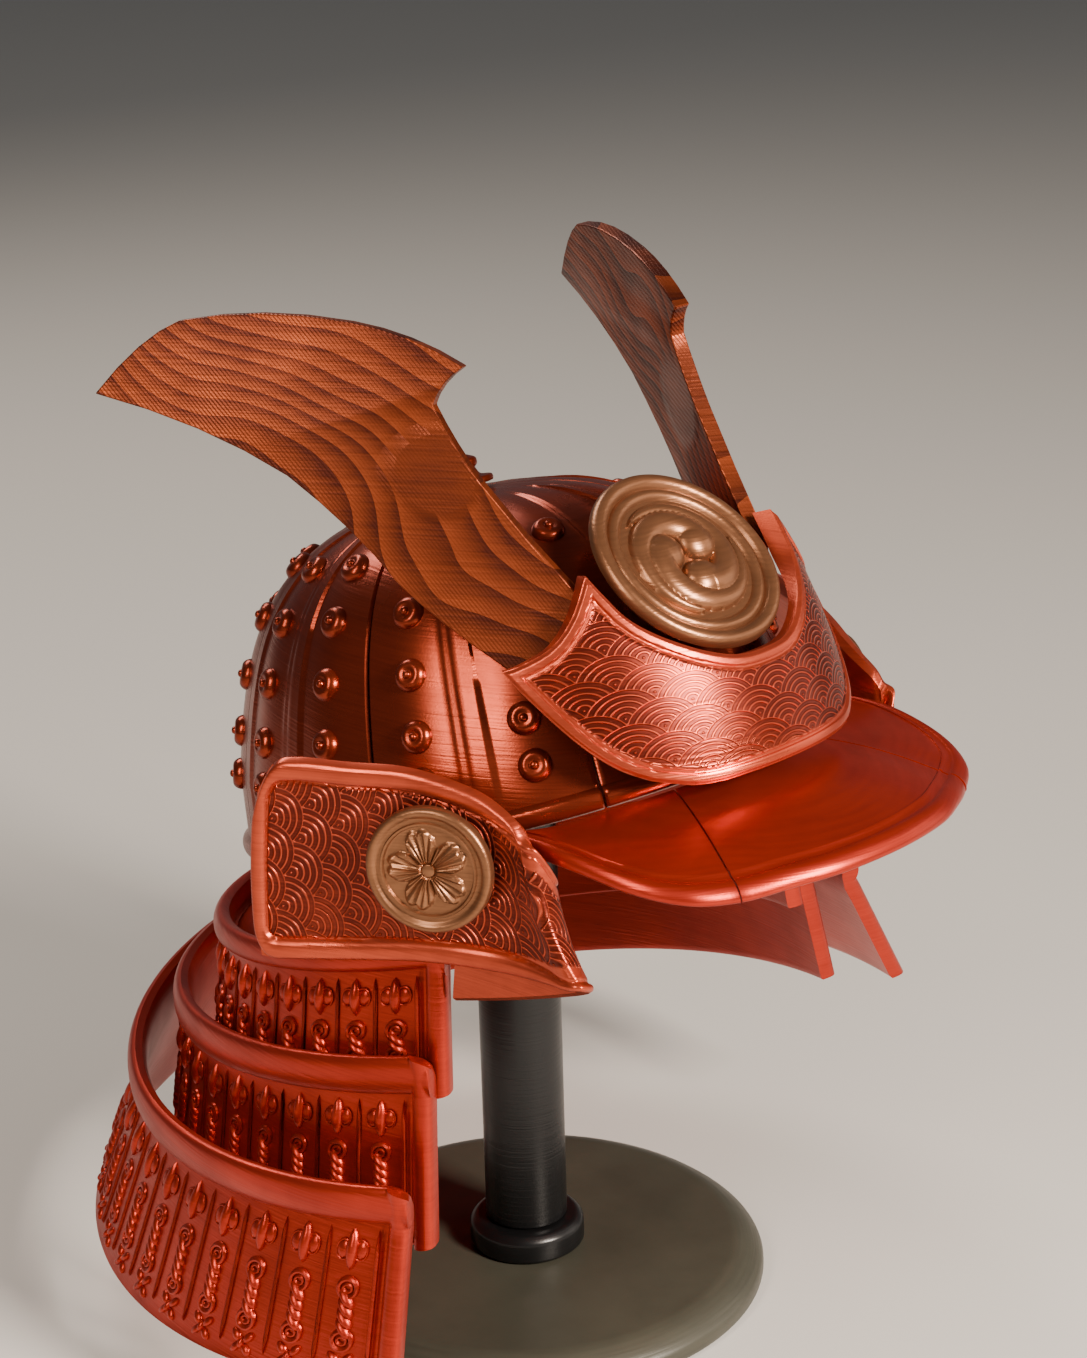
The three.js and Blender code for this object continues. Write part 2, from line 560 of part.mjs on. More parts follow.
// ---------------------------------------------------------------- stand
function addStand() {
  const { baseRadius: r, topRadius, baseHeight: h, collarRadius: c, collarHeight, poleRadius: p } = STAND;
  const base = [[0, 0], [r - 1, 0], [r, 1], [r, 3.4], [r - 2.6, 5.6], [topRadius, h], [0, h]];
  add(kabuto, 'stand_base', turned(base, 40), MATERIALS.base);
  const foot = h + GAP;
  const collar = [[0, foot], [c, foot], [c, foot + collarHeight - 1.4], [c - 1.4, foot + collarHeight],
    [0, foot + collarHeight]];
  add(kabuto, 'stand_collar', turned(collar, 32), MATERIALS.pole);
  const poleFoot = foot + collarHeight + GAP;
  const pole = [[0, poleFoot], [p, poleFoot], [p, STAND.capBottom - GAP], [0, STAND.capBottom - GAP]];
  add(kabuto, 'stand_pole', turned(pole, 28), MATERIALS.pole);
  const { capBottom, capTop, capRadius } = STAND;
  const cap = [[0, capBottom], [capRadius - 1, capBottom], [capRadius, capBottom + 1],
    [capRadius, capTop - 3], [capRadius - 3, capTop - 0.8], [0, capTop]];
  add(kabuto, 'stand_cap', turned(cap, 28), MATERIALS.pole);
}

addStand();
addBowl();
addFinial();
addVisor();
addHornHolder();
addHorns();
addFrontDisc();
addTurnbacks();
addMedallions();
addNeckGuard();

export default kabuto;
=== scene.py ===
import math
from bisect import bisect_right

import bmesh
import bpy
from mathutils import Matrix, Vector


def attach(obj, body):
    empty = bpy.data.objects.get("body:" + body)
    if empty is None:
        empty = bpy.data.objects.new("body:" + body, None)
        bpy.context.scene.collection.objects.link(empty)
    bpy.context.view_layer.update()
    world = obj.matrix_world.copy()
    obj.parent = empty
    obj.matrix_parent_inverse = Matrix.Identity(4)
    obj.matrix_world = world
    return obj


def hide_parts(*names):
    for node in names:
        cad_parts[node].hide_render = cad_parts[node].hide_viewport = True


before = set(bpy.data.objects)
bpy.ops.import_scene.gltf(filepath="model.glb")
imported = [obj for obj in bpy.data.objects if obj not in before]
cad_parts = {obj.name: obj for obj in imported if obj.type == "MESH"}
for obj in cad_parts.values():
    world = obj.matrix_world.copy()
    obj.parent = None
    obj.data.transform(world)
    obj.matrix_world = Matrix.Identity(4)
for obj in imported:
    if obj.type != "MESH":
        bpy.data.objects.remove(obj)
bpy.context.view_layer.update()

# Lengths are in millimetres and angles in degrees until a piece is placed. The helmet is laid
# out in its own frame, which leans back over the stand; -Y is the way it faces and -X is the
# wearer's right.
MM = 0.001
STAND_PLACE = Matrix.Scale(MM, 4)
HELMET_LEAN = -17.7
HELMET_TURN = Matrix.Rotation(math.radians(HELMET_LEAN), 4, "X")
HELMET_PLACE = STAND_PLACE @ Matrix.Translation((0, -1, 112.2)) @ HELMET_TURN
GAP = 0.35  # between two pieces that touch on the real one
SEAM_GAP = 0.45  # the dark line between two printed segments
MERGE = 1e-3  # points closer than this are one
FULL_TURN = 2 * math.pi


# ---------------------------------------------------------------- working with meshes
def smoothstep(low, high, value):
    part = min(max((value - low) / (high - low), 0.0), 1.0)
    return part * part * (3 - 2 * part)


def dome(distance, radius):
    """Height of a half-round of that radius at a distance from its middle, from 0 to 1."""
    return math.sqrt(max(1 - (distance / radius) ** 2, 0.0))


def ridge(distance, half_width):
    """Height of a soft ridge at a distance from its middle, from 0 to 1."""
    return math.exp(-((distance / half_width) ** 2))


def read_table(rows, key):
    """The values of a short table at a key between its rows, on a smooth curve."""
    keys = [row[0] for row in rows]
    i = min(max(bisect_right(keys, key) - 1, 0), len(rows) - 2)

    def slopes(k):
        before = rows[max(k - 1, 0)]
        after = rows[min(k + 1, len(rows) - 1)]
        return [(b - a) / (after[0] - before[0]) for a, b in zip(before, after)]

    span = keys[i + 1] - keys[i]
    t = (key - keys[i]) / span
    across = 3 * t**2 - 2 * t**3
    leave = (t**3 - 2 * t**2 + t) * span
    arrive = (t**3 - t**2) * span
    return [
        (1 - across) * a + leave * slope_a + across * b + arrive * slope_b
        for a, b, slope_a, slope_b in zip(rows[i], rows[i + 1], slopes(i), slopes(i + 1))
    ]


def laid(rows, columns, point, surface=None, field=None):
    """A grid of quads laid where point(i, j) says. For a pattern that follows the sheet,
    surface(i, j) gives the place on it in radii of a fan, and field(i, j) whether it shows."""
    bm = bmesh.new()
    bmesh.ops.create_grid(bm, x_segments=rows, y_segments=columns, size=1)
    if surface:
        sheet = bm.loops.layers.uv.new("sheet")
    if field:
        shown = bm.verts.layers.float.new("field")
    place_on_sheet = {}
    for vert in bm.verts:
        i = round((vert.co.x + 1) / 2 * rows)
        j = round((vert.co.y + 1) / 2 * columns)
        if surface:
            place_on_sheet[vert] = surface(i, j)
        if field:
            vert[shown] = field(i, j)
        vert.co = point(i, j)
    if surface:
        for face in bm.faces:
            for loop in face.loops:
                loop[sheet].uv = place_on_sheet[loop.vert]
    return bm


def close_ends(bm):
    """Joins the edges of a sheet that meet, and fills the holes that are left."""
    bmesh.ops.remove_doubles(bm, verts=bm.verts, dist=MERGE)
    bmesh.ops.holes_fill(bm, edges=[edge for edge in bm.edges if edge.is_boundary], sides=0)
    return bm


def turned(profile, sides):
    """A solid of revolution about Z from (radius, height) pairs that start and end on the axis."""
    bm = bmesh.new()
    verts = [bm.verts.new((radius, 0, height)) for radius, height in profile]
    edges = [bm.edges.new(pair) for pair in zip(verts, verts[1:])]
    bmesh.ops.spin(bm, geom=verts + edges, cent=(0, 0, 0), axis=(0, 0, 1), dvec=(0, 0, 0),
                   angle=FULL_TURN, steps=sides, use_merge=True)
    bmesh.ops.remove_doubles(bm, verts=bm.verts, dist=MERGE)
    return bm


def rounded(profile, radius, steps=4):
    """A profile with every corner but its two ends rounded, each over less than half a side."""
    path = [profile[0]]
    for before, corner, after in zip(profile, profile[1:], profile[2:]):
        a, c, b = Vector(before), Vector(corner), Vector(after)
        reach = min(radius, (a - c).length * 0.45, (b - c).length * 0.45)
        start, end = c + (a - c).normalized() * reach, c + (b - c).normalized() * reach
        for k in range(steps + 1):
            t = k / steps
            path.append(tuple(start * (1 - t) ** 2 + c * 2 * t * (1 - t) + end * t**2))
    return path + [profile[-1]]


def aimed(at, axis, top=(0, 0, 1)):
    """The placing of a solid made along +Z so that +Z points along axis, with +Y nearest top."""
    forward = Vector(axis).normalized()
    side = Vector(top).cross(forward).normalized()
    up = forward.cross(side)
    turn = Matrix((side, up, forward)).transposed().to_4x4()
    return Matrix.Translation(at) @ turn


def make_piece(bm, name, material, place, stands_for=(), sharp=40):
    """Makes a finished piece of bm in its place: smooth, but for edges sharper than an angle."""
    bmesh.ops.recalc_face_normals(bm, faces=bm.faces)
    bmesh.ops.transform(bm, matrix=place, verts=bm.verts)
    if place.determinant() < 0:
        bmesh.ops.reverse_faces(bm, faces=bm.faces)
    mesh = bpy.data.meshes.new(name)
    bm.to_mesh(mesh)
    bm.free()
    mesh.shade_smooth()
    mesh.set_sharp_from_angle(angle=math.radians(sharp))
    mesh.materials.append(material)
    piece = bpy.data.objects.new(name, mesh)
    bpy.context.collection.objects.link(piece)
    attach(piece, "root")
    if stands_for:
        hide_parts(*stands_for)
    return piece


def add_mesh(bm, mesh, move):
    """Adds a copy of a mesh to bm with each of its points moved by move(point)."""
    first = len(bm.verts)
    bm.from_mesh(mesh)
    bm.verts.ensure_lookup_table()
    for vert in bm.verts[first:]:
        vert.co = move(vert.co)


def as_mesh(bm, name):
    bmesh.ops.recalc_face_normals(bm, faces=bm.faces)
    mesh = bpy.data.meshes.new(name)
    bm.to_mesh(mesh)
    bm.free()
    return mesh


# pieces that come in pairs are made for the wearer's right and mirrored for the left
SIDES = {"right": Matrix.Identity(4), "left": Matrix.Scale(-1, 4, (1, 0, 0))}

# ---------------------------------------------------------------- materials
# Everything is printed in PLA. The helmet's silk grade gives it a metallic sheen that shifts
# from layer to layer, and the stand's plain grades are duller.
MATH = "ShaderNodeMath"
WAVE_TEXTURE_PERIOD = 0.32  # from line to line of a Wave Texture at a scale of 1
LAYER = 0.42  # printed layers are 0.2 high and drawn twice as coarse, so that they show
HATCH = 0.62  # lines of the flat faces' infill, 0.4 wide and drawn a little coarser
STREAKS_PER_MM = 0.06  # along a layer
MOTTLES_PER_MM = 0.055
GRAINS_PER_MM = 2.4
MOTTLE_FROM, MOTTLE_TO = 0.3, 0.7  # the part of the noise that shows
MOTTLE_DEPTH, STREAK_DEPTH = 0.4, 0.5  # how much darker each makes the plastic
SHINIER, DULLER = 0.04, 0.05  # how far the roughness strays
VALUE_A, VALUE_B, COLOUR_A, COLOUR_B = 2, 3, 6, 7  # sockets of a Mix node
# heights, in millimetres
LAYER_RELIEF, GRAIN_RELIEF, HATCH_RELIEF, STEP_RELIEF, LINE_RELIEF = 0.05, 0.012, 0.035, 0.35, 0.8
# the waves (seigaiha), in radii of a fan
FAN_SPACING = 1.85  # from fan to fan along a row
FAN_ROW = 0.62  # from row to row
FAN_RING = 0.2  # from one line of a fan to the next
FAN_LINE, FAN_LINE_EDGE = 0.012, 0.05  # half width of a raised line at its top and at its foot
FIELD_PAINTED_SHADE, LINE_PAINTED_HIGHLIGHT = 0.75, 1.3  # painted shade on the ground and a painted highlight on the lines: how much darker and lighter each is drawn
# the contours of a gently domed flat print, where one layer ends and the next shows, with a painted
# sheen that darkens each layer towards its edge
BLADE_CENTRE = Vector((96.2, 58.1, 55.5))  # they run round this point beside the horn's foot
BLADE_BAND = 4.2  # from contour to contour
BLADE_WANDER = 13.0  # how many of them they stray over
WANDERS_PER_MM = 0.02
STEP_PAINTED_SHEEN = 0.75  # painted sheen: how much darker a layer is drawn towards its edge
PATCH_CENTRE = Vector((36, -19, 185))  # a smooth dark patch half way up the horn
PATCH_FROM, PATCH_TO, PATCH_STRAY = 24, 26.5, 35  # where it ends, and how far that strays
PATCH_DEPTH = 0.5


def linear(colour):
    """A 0xRRGGBB colour as linear RGBA."""
    channels = [((colour >> shift) & 255) / 255 for shift in (16, 8, 0)]
    return [c / 12.92 if c <= 0.04045 else ((c + 0.055) / 1.055) ** 2.4 for c in channels] + [1.0]


def add_node(tree, kind, inputs=(), output=0, **settings):
    """Adds a node with its settings and gives back one of its outputs. inputs are values or
    other nodes' outputs, in order, or by the number or name of the socket."""
    node = tree.nodes.new(kind)
    for key, value in settings.items():
        setattr(node, key, value)
    for key, value in inputs.items() if isinstance(inputs, dict) else enumerate(inputs):
        if isinstance(value, bpy.types.NodeSocket):
            tree.links.new(value, node.inputs[key])
        else:
            node.inputs[key].default_value = value
    return node.outputs[output] if len(node.outputs) else None


def fan_lines(tree):
    """Lines of the wave pattern, each fan over the two above it, and where the pattern shows."""
    sheet = add_node(tree, "ShaderNodeUVMap", uv_map="sheet")
    across = add_node(tree, "ShaderNodeSeparateXYZ", (sheet,), "X")
    up = add_node(tree, "ShaderNodeSeparateXYZ", (sheet,), "Y")
    in_rows = add_node(tree, MATH, (up, FAN_ROW), operation="DIVIDE")
    row = add_node(tree, MATH, (in_rows,), operation="FLOOR")
    reaches = []
    for step in (-1, 0, 1):
        this_row = add_node(tree, MATH, (row, step), operation="ADD")
        odd = add_node(tree, MATH, (this_row, 2.0), operation="FLOORED_MODULO")
        shifted = add_node(tree, MATH, (odd, FAN_SPACING / 2, across), operation="MULTIPLY_ADD")
        beside = add_node(tree, MATH, (shifted, FAN_SPACING / 2), operation="PINGPONG")
        above = add_node(tree, MATH, (this_row, -FAN_ROW, up), operation="MULTIPLY_ADD")
        above_squared = add_node(tree, MATH, (above, above), operation="MULTIPLY")
        squares = add_node(tree, MATH, (beside, beside, above_squared), operation="MULTIPLY_ADD")
        reaches.append(add_node(tree, MATH, (squares,), operation="SQRT"))
    in_lower = add_node(tree, MATH, (reaches[0], 1.0), operation="LESS_THAN")
    in_middle = add_node(tree, MATH, (reaches[1], 1.0), operation="LESS_THAN")
    upper = add_node(tree, "ShaderNodeMix", {0: in_middle, VALUE_A: reaches[2], VALUE_B: reaches[1]})
    reach = add_node(tree, "ShaderNodeMix", {0: in_lower, VALUE_A: upper, VALUE_B: reaches[0]})
    inward = add_node(tree, MATH, (1.0, reach), operation="SUBTRACT")
    from_line = add_node(tree, MATH, (inward, FAN_RING / 2), operation="PINGPONG")
    line = add_node(tree, "ShaderNodeMapRange", (from_line, FAN_LINE, FAN_LINE_EDGE, 1.0, 0.0),
                    interpolation_type="SMOOTHSTEP")
    shown = add_node(tree, "ShaderNodeAttribute", output="Fac", attribute_name="field")
    return add_node(tree, MATH, (line, shown), operation="MULTIPLY"), shown


def blade_contours(tree, place, side, height, tint):
    """Adds to a height and a tint the steps of a domed flat print: contours that wander along
    the blade, each layer drawn darker towards its edge as a painted sheen, slanting infill lines
    over them, and a smooth dark patch half way along."""
    centre = BLADE_CENTRE * Vector((side, 1, 1)) * MM
    reach = add_node(tree, "ShaderNodeVectorMath", (place, centre), "Value", operation="DISTANCE")
    noise = {"Vector": place, "Scale": WANDERS_PER_MM / MM, "Detail": 1.5, "Roughness": 0.4}
    wander = add_node(tree, "ShaderNodeTexNoise", noise, "Fac")
    strayed = add_node(tree, MATH, (wander, BLADE_WANDER), operation="MULTIPLY")
    bands = add_node(tree, MATH, (reach, 1 / (BLADE_BAND * MM), strayed), operation="MULTIPLY_ADD")
    step = add_node(tree, MATH, (bands,), operation="FRACT")
    turn = (0, math.radians(45), math.radians(30))
    slant = add_node(tree, "ShaderNodeMapping", {"Vector": place, "Rotation": turn})
    infill = {"Vector": slant, "Scale": WAVE_TEXTURE_PERIOD / (HATCH * MM), "Distortion": 0.6}
    lines = add_node(tree, "ShaderNodeTexWave", infill, "Fac")
    middle = PATCH_CENTRE * Vector((side, 1, 1)) * MM
    to_patch = add_node(tree, "ShaderNodeVectorMath", (place, middle), "Value", operation="DISTANCE")
    edge = add_node(tree, MATH, (wander, PATCH_STRAY * MM, to_patch), operation="MULTIPLY_ADD")
    off_patch = add_node(tree, "ShaderNodeMapRange", (edge, PATCH_FROM * MM, PATCH_TO * MM, 0.0, 1.0))
    on_patch = add_node(tree, MATH, (1.0, off_patch), operation="SUBTRACT")
    step = add_node(tree, MATH, (step, off_patch), operation="MULTIPLY")
    height = add_node(tree, MATH, (lines, HATCH_RELIEF, height), operation="MULTIPLY_ADD")
    height = add_node(tree, MATH, (step, -STEP_RELIEF, height), operation="MULTIPLY_ADD")
    # painted sheen: each layer's colour darkens towards its edge
    tint = add_node(tree, MATH, (step, STEP_PAINTED_SHEEN, tint), operation="MULTIPLY_ADD")
    tint = add_node(tree, MATH, (on_patch, PATCH_DEPTH, tint), operation="MULTIPLY_ADD")
    return height, tint


LEAN = (0, 0.304, 0.953)  # the helmet's own upright, along which its pieces were printed


def printed_pla(name, colour, dark_and_shade, metallic, roughness, layers=LEAN, fans=False, blade=0):
    """Printed PLA: mottled and streaked a little along its layers, over fine layer lines. Its second
    colour is a darker one, which the mottles and streaks lean to and which also gives painted shade
    and sheen, and layers is the direction they were stacked in. fans draws the wave pattern, with
    painted shade on its ground and a painted highlight on its raised lines, and blade the contours
    of a flat horn, with a painted sheen darkening each layer towards its edge, on the side that its
    sign says."""
    material = bpy.data.materials.new(name)
    material.use_nodes = True
    tree = material.node_tree
    tree.nodes.clear()
    place = add_node(tree, "ShaderNodeTexCoord", output="Object")
    noise = {"Vector": place, "Scale": MOTTLES_PER_MM / MM, "Detail": 4.0, "Roughness": 0.6}
    mottle = add_node(tree, "ShaderNodeTexNoise", noise, "Fac")
    noise = {"Vector": place, "Scale": GRAINS_PER_MM / MM, "Detail": 2.0}
    grain = add_node(tree, "ShaderNodeTexNoise", noise, "Fac")
    turn = Vector(layers).rotation_difference(Vector((0, 0, 1))).to_euler()
    stretch = (STREAKS_PER_MM / MM, STREAKS_PER_MM / MM, 1 / (LAYER * MM))
    upright = add_node(tree, "ShaderNodeMapping", {"Vector": place, "Rotation": turn, "Scale": stretch})
    layer = add_node(tree, "ShaderNodeTexNoise", {"Vector": upright, "Scale": 1.0, "Detail": 1.0}, "Fac")
    tint = add_node(tree, "ShaderNodeMapRange", (mottle, MOTTLE_FROM, MOTTLE_TO, 0.0, MOTTLE_DEPTH))
    streak = add_node(tree, MATH, (layer, 0.5), operation="SUBTRACT")
    tint = add_node(tree, MATH, (streak, STREAK_DEPTH, tint), operation="MULTIPLY_ADD")
    height = add_node(tree, MATH, (layer, LAYER_RELIEF), operation="MULTIPLY")
    height = add_node(tree, MATH, (grain, GRAIN_RELIEF, height), operation="MULTIPLY_ADD")
    if blade:
        height, tint = blade_contours(tree, place, blade, height, tint)
    if fans:
        line, field = fan_lines(tree)
        height = add_node(tree, MATH, (line, LINE_RELIEF, height), operation="MULTIPLY_ADD")
        # the ground between the wave lines gets painted shade, and the raised lines a painted highlight
        tint = add_node(tree, MATH, (field, FIELD_PAINTED_SHADE, tint), operation="MULTIPLY_ADD")
        tint = add_node(tree, MATH, (line, -LINE_PAINTED_HIGHLIGHT, tint), operation="MULTIPLY_ADD")
    tint = add_node(tree, "ShaderNodeClamp", (tint,))
    colours = {0: tint, COLOUR_A: linear(colour), COLOUR_B: linear(dark_and_shade)}
    body = add_node(tree, "ShaderNodeMix", colours, 2, data_type="RGBA")
    rough = (mottle, MOTTLE_FROM, MOTTLE_TO, roughness - SHINIER, roughness + DULLER)
    look = {
        "Base Color": body,
        "Metallic": metallic,
        "Roughness": add_node(tree, "ShaderNodeMapRange", rough),
        "Normal": add_node(tree, "ShaderNodeBump", {"Height": height, "Distance": MM, "Strength": 1.0}),
    }
    shader = add_node(tree, "ShaderNodeBsdfPrincipled", look)
    add_node(tree, "ShaderNodeOutputMaterial", {"Surface": shader})
    return material


# name, colour, darker colour, metallic and roughness. Silk PLA shines like brushed copper; its red
# turns orange where it catches the light, and browner on steep walls of thin layers. The darker
# colour is what the mottles and streaks lean to, and it also gives the painted shade and sheen.
COPPER_RED = printed_pla("silk_pla_copper_red", 0xB63220, 0x70170C, 0.8, 0.34)
# its wave pattern paints a highlight on the raised lines and shade on the ground between them
COPPER_RED_WAVES = printed_pla("silk_pla_copper_red_waves", 0xC85034, 0x5A190D, 0.8, 0.3, fans=True)
COPPER_BROWN = printed_pla("silk_pla_copper_brown", 0x92361E, 0x54180C, 0.85, 0.27)
BLADE_LEFT = printed_pla("silk_pla_copper_plate_left", 0x98441F, 0x48180A, 0.75, 0.38, blade=1)
BLADE_RIGHT = printed_pla("silk_pla_copper_plate_right", 0x98441F, 0x48180A, 0.75, 0.38, blade=-1)
BRONZE = printed_pla("silk_pla_bronze", 0x936344, 0x462A1A, 0.8, 0.33, layers=(0, -0.75, 0.66))
# plain PLA: a soft satin, with hardly any metal in it
SMOKE_GREY = printed_pla("pla_smoke_grey", 0x45443A, 0x2A2A22, 0.15, 0.4, layers=(0, 0, 1))
BLACK = printed_pla("pla_black_satin", 0x121213, 0x070708, 0.2, 0.33, layers=(0, 0, 1))


# ---------------------------------------------------------------- bowl
BOWL_HALF_WIDTH, BOWL_HALF_LENGTH, BOWL_HEIGHT = 47.2, 56.0, 55.5
BOWL_CENTRE = Vector((0, -4, 2.1))
BOWL_TILT = Matrix.Rotation(math.radians(2.3), 3, "X")
ROUNDNESS = 2.7  # of the side view: 2 is an ellipse, more is squarer
SKIRT_FLARE = 0.1
BACK_LONGER = 0.05
RIM_DROP = 7.9  # from the front of the rim to the back
BOWL_WALL = 2.4
CROWN_HOLE = 4.6
BEAD_HEIGHT, BEAD_DEPTH = 4.2, 1.5
COLUMNS = 16
SEAMS = (1.5, 3.5, 6.5)  # in columns from the front
LAPS = (0.5, 2.5, 4.5, 5.5, 7.5)  # where one plate of the bowl laps over the next
LAP_HALF_WIDTH, LAP_STEP, LAP_RIDGE, LAP_RIDGE_WIDTH = 2.7, 0.45, 0.35, 0.35
LAPS_FADE, LAPS_END = 1.2, 1.45  # elevations in radians between which they run out
FLUTE = 0.5  # how far the middle of a column stands out
RIVET_ROWS = (5.4, 12.6, 24.2, 38.7, 54.7)  # degrees up the bowl
NO_RIVETS = {0: (0, 60), 1: (0, 45), 2: (20, 60)}  # column, and the degrees that are covered there
COLUMN = FULL_TURN / COLUMNS
COLUMN_WIDTH, BOWL_RADIUS = 20.0, 50.0  # at the rim
CROWN = math.acos((CROWN_HOLE / BOWL_HALF_WIDTH) ** (ROUNDNESS / 2))
SKIN_FROM = math.radians(5.5)  # above the rolled edge
EDGE_DROP, EDGE_WIDTH = 0.4, 0.7  # of a segment's rounded edge
NUDGE = 1e-3  # a small step in radians, to find a slope
# rivet, from its nipple over the dip and the ring down to the plate: radius and height
RIVET = [(0, 2.1), (0.5, 2.0), (0.75, 1.7), (0.82, 1.3), (1.1, 1.35), (1.75, 1.5), (2.35, 1.3),
         (2.85, 0.8), (3.15, 0.15), (3.2, -0.7), (0, -0.7)]
FINIAL = [(0, -4), (3.4, -4), (3.4, 0.9), (6.2, 0.9), (6.2, 2.2), (3.8, 2.6), (3.1, 4.2),
          (3.8, 4.6), (3.9, 6), (1.9, 7), (0, 7)]


def bowl_point(azimuth, elevation, grow=0.0):
    """A point of the bowl's skin, at angles in radians: azimuth runs from the front towards the
    wearer's right, and elevation up from the rim."""
    ring = math.cos(elevation) ** (2 / ROUNDNESS) + SKIRT_FLARE * (1 - math.sin(elevation)) ** 4
    length = (BOWL_HALF_LENGTH + grow) * (1 - BACK_LONGER * math.cos(azimuth))
    x = -(BOWL_HALF_WIDTH + grow) * math.sin(azimuth) * ring
    y = -length * math.cos(azimuth) * ring
    z = (BOWL_HEIGHT + grow) * math.sin(elevation) ** (2 / ROUNDNESS)
    return BOWL_TILT @ Vector((x, y, z)) + BOWL_CENTRE


def rim_point(azimuth, height, grow=0.0):
    """A point at a height above the bowl's rim, which drops towards the back."""
    point = bowl_point(azimuth, 0, grow)
    point.z += height - RIM_DROP * (1 - math.cos(azimuth)) / 2
    return point


def bowl_relief(azimuth, elevation):
    """How far the skin stands out: a soft flute on each column and the laps between plates."""
    column = abs((azimuth / COLUMN + COLUMNS / 2) % COLUMNS - COLUMNS / 2)
    height = FLUTE * math.cos(math.pi * column) ** 2 * math.cos(elevation)
    for lap in LAPS:
        x = (column - lap) * COLUMN_WIDTH
        if abs(x) < 2 * LAP_HALF_WIDTH:
            rise = smoothstep(-LAP_HALF_WIDTH - 0.2, -LAP_HALF_WIDTH + 0.2, x)
            fall = 1 - smoothstep(0.6, LAP_HALF_WIDTH, x)
            edge = LAP_RIDGE * ridge(x - LAP_HALF_WIDTH, LAP_RIDGE_WIDTH)
            height += (LAP_STEP * rise * fall + edge) * smoothstep(LAPS_END, LAPS_FADE, elevation)
    return height


def bowl_segment(node, start, end):
    """One printed segment between two seams, given in columns from the front."""
    inset = SEAM_GAP / 2 / BOWL_RADIUS
    steps = round((end - start) * 32)
    bead = [(k / 8, BEAD_DEPTH * dome(k / 8 - 0.5, 0.5) ** 0.8) for k in range(9)]
    skin = [SKIN_FROM + (CROWN - SKIN_FROM) * (k / 56) ** 1.1 for k in range(57)]
    inner = [CROWN * (1 - k / 10) for k in range(11)]
    foot = (-BOWL_WALL, -BOWL_WALL / 2, 0)
    rows = len(bead) + len(skin) + len(inner) + len(foot) - 1

    def edge_round(j):
        from_edge = min(j, steps - j) / steps * (end - start) * COLUMN_WIDTH
        return -EDGE_DROP * (1 - smoothstep(0, EDGE_WIDTH, from_edge))

    def point(i, j):
        azimuth = (start + (end - start) * j / steps) * COLUMN
        azimuth += inset * (1 - 2 * j / steps) if j in (0, steps) else 0
        if i < len(bead):
            part, out = bead[i]
            return rim_point(azimuth, part * BEAD_HEIGHT, out + edge_round(j) * (out > 0))
        i -= len(bead)
        if i < len(skin):
            return bowl_point(azimuth, skin[i], bowl_relief(azimuth, skin[i]) + edge_round(j))
        i -= len(skin)
        if i < len(inner):
            return bowl_point(azimuth, inner[i], -BOWL_WALL)
        return rim_point(azimuth, 0, foot[i - len(inner)])

    bm = close_ends(laid(rows, steps, point))
    make_piece(bm, node + "_shell", COPPER_BROWN, HELMET_PLACE, [node])


def covered(column, row):
    """Whether the horn holder, the disc or a horn leaves no room for a rivet."""
    low, high = NO_RIVETS.get(min(column, COLUMNS - column), (0, 0))
    return low < row < high


def bowl():
    front, temple, side = SEAMS
    bowl_segment("bowl_front", -front, front)
    bowl_segment("bowl_temple_right", front, temple)
    bowl_segment("bowl_temple_left", -temple, -front)
    bowl_segment("bowl_side_right", temple, side)
    bowl_segment("bowl_side_left", -side, -temple)
    bowl_segment("bowl_back", side, COLUMNS - side)
    rivet = as_mesh(turned(rounded(RIVET, 0.3, 2), 22), "rivet")
    bm = bmesh.new()
    for column in range(COLUMNS):
        for row in RIVET_ROWS:
            if covered(column, row):
                continue
            azimuth, elevation = column * COLUMN, math.radians(row)
            here = bowl_point(azimuth, elevation, FLUTE * math.cos(elevation))
            along = bowl_point(azimuth + NUDGE, elevation) - bowl_point(azimuth, elevation)
            up = bowl_point(azimuth, elevation + NUDGE) - bowl_point(azimuth, elevation)
            place = aimed(here, up.cross(along))
            add_mesh(bm, rivet, lambda co: place @ co)
    make_piece(bm, "bowl_rivets", COPPER_BROWN, HELMET_PLACE)
    bm = turned(rounded(FINIAL, 0.6, 3), 48)
    place = HELMET_PLACE @ Matrix.Translation(bowl_point(0, math.pi / 2))
    make_piece(bm, "crown_finial_turned", COPPER_BROWN, place, ["crown_finial"])


# ---------------------------------------------------------------- visor
VISOR_HALF_WALL = 1.2
VISOR_WIDTH = 30  # about, from the bowl to the rim
VISOR_BEAD = 1.7
VISOR_ARCH = 1.6
# around the bowl, then x, y and z of the rim there; the first row is the other side of the middle
VISOR_RIM = [
    (-7, -14, -93, -17.7),
    (0, 0, -94.8, -17.8),
    (7, 14, -93, -17.7),
    (13.5, 24, -89, -17.3),
    (19.5, 32.7, -84.2, -17),
    (26, 40.4, -79.4, -15),
    (34, 45.4, -71.4, -11),
    (42, 47.4, -60.6, -5.8),
    (50, 47.2, -51, -2.8),
    (58, 46.2, -42, -1.6),
]
VISOR_SEAM, VISOR_END = 19.5, 58.0
VISOR_LINE = [(4.9, 0), (4.65, 0.3), (4.3, 0.3), (4.05, 0), (3.2, -0.05)]  # back from the rim, and lift


def visor_edges(around):
    """The visor's inner edge and rim at an angle round the bowl, positive on the wearer's
    right."""
    side = 1 if around >= 0 else -1
    _, x, y, z = read_table(VISOR_RIM, abs(around))
    inner = rim_point(math.radians(around), 0, 0.6) - Vector((0, 0, GAP + VISOR_HALF_WALL))
    return inner, Vector((-side * x, y, z))


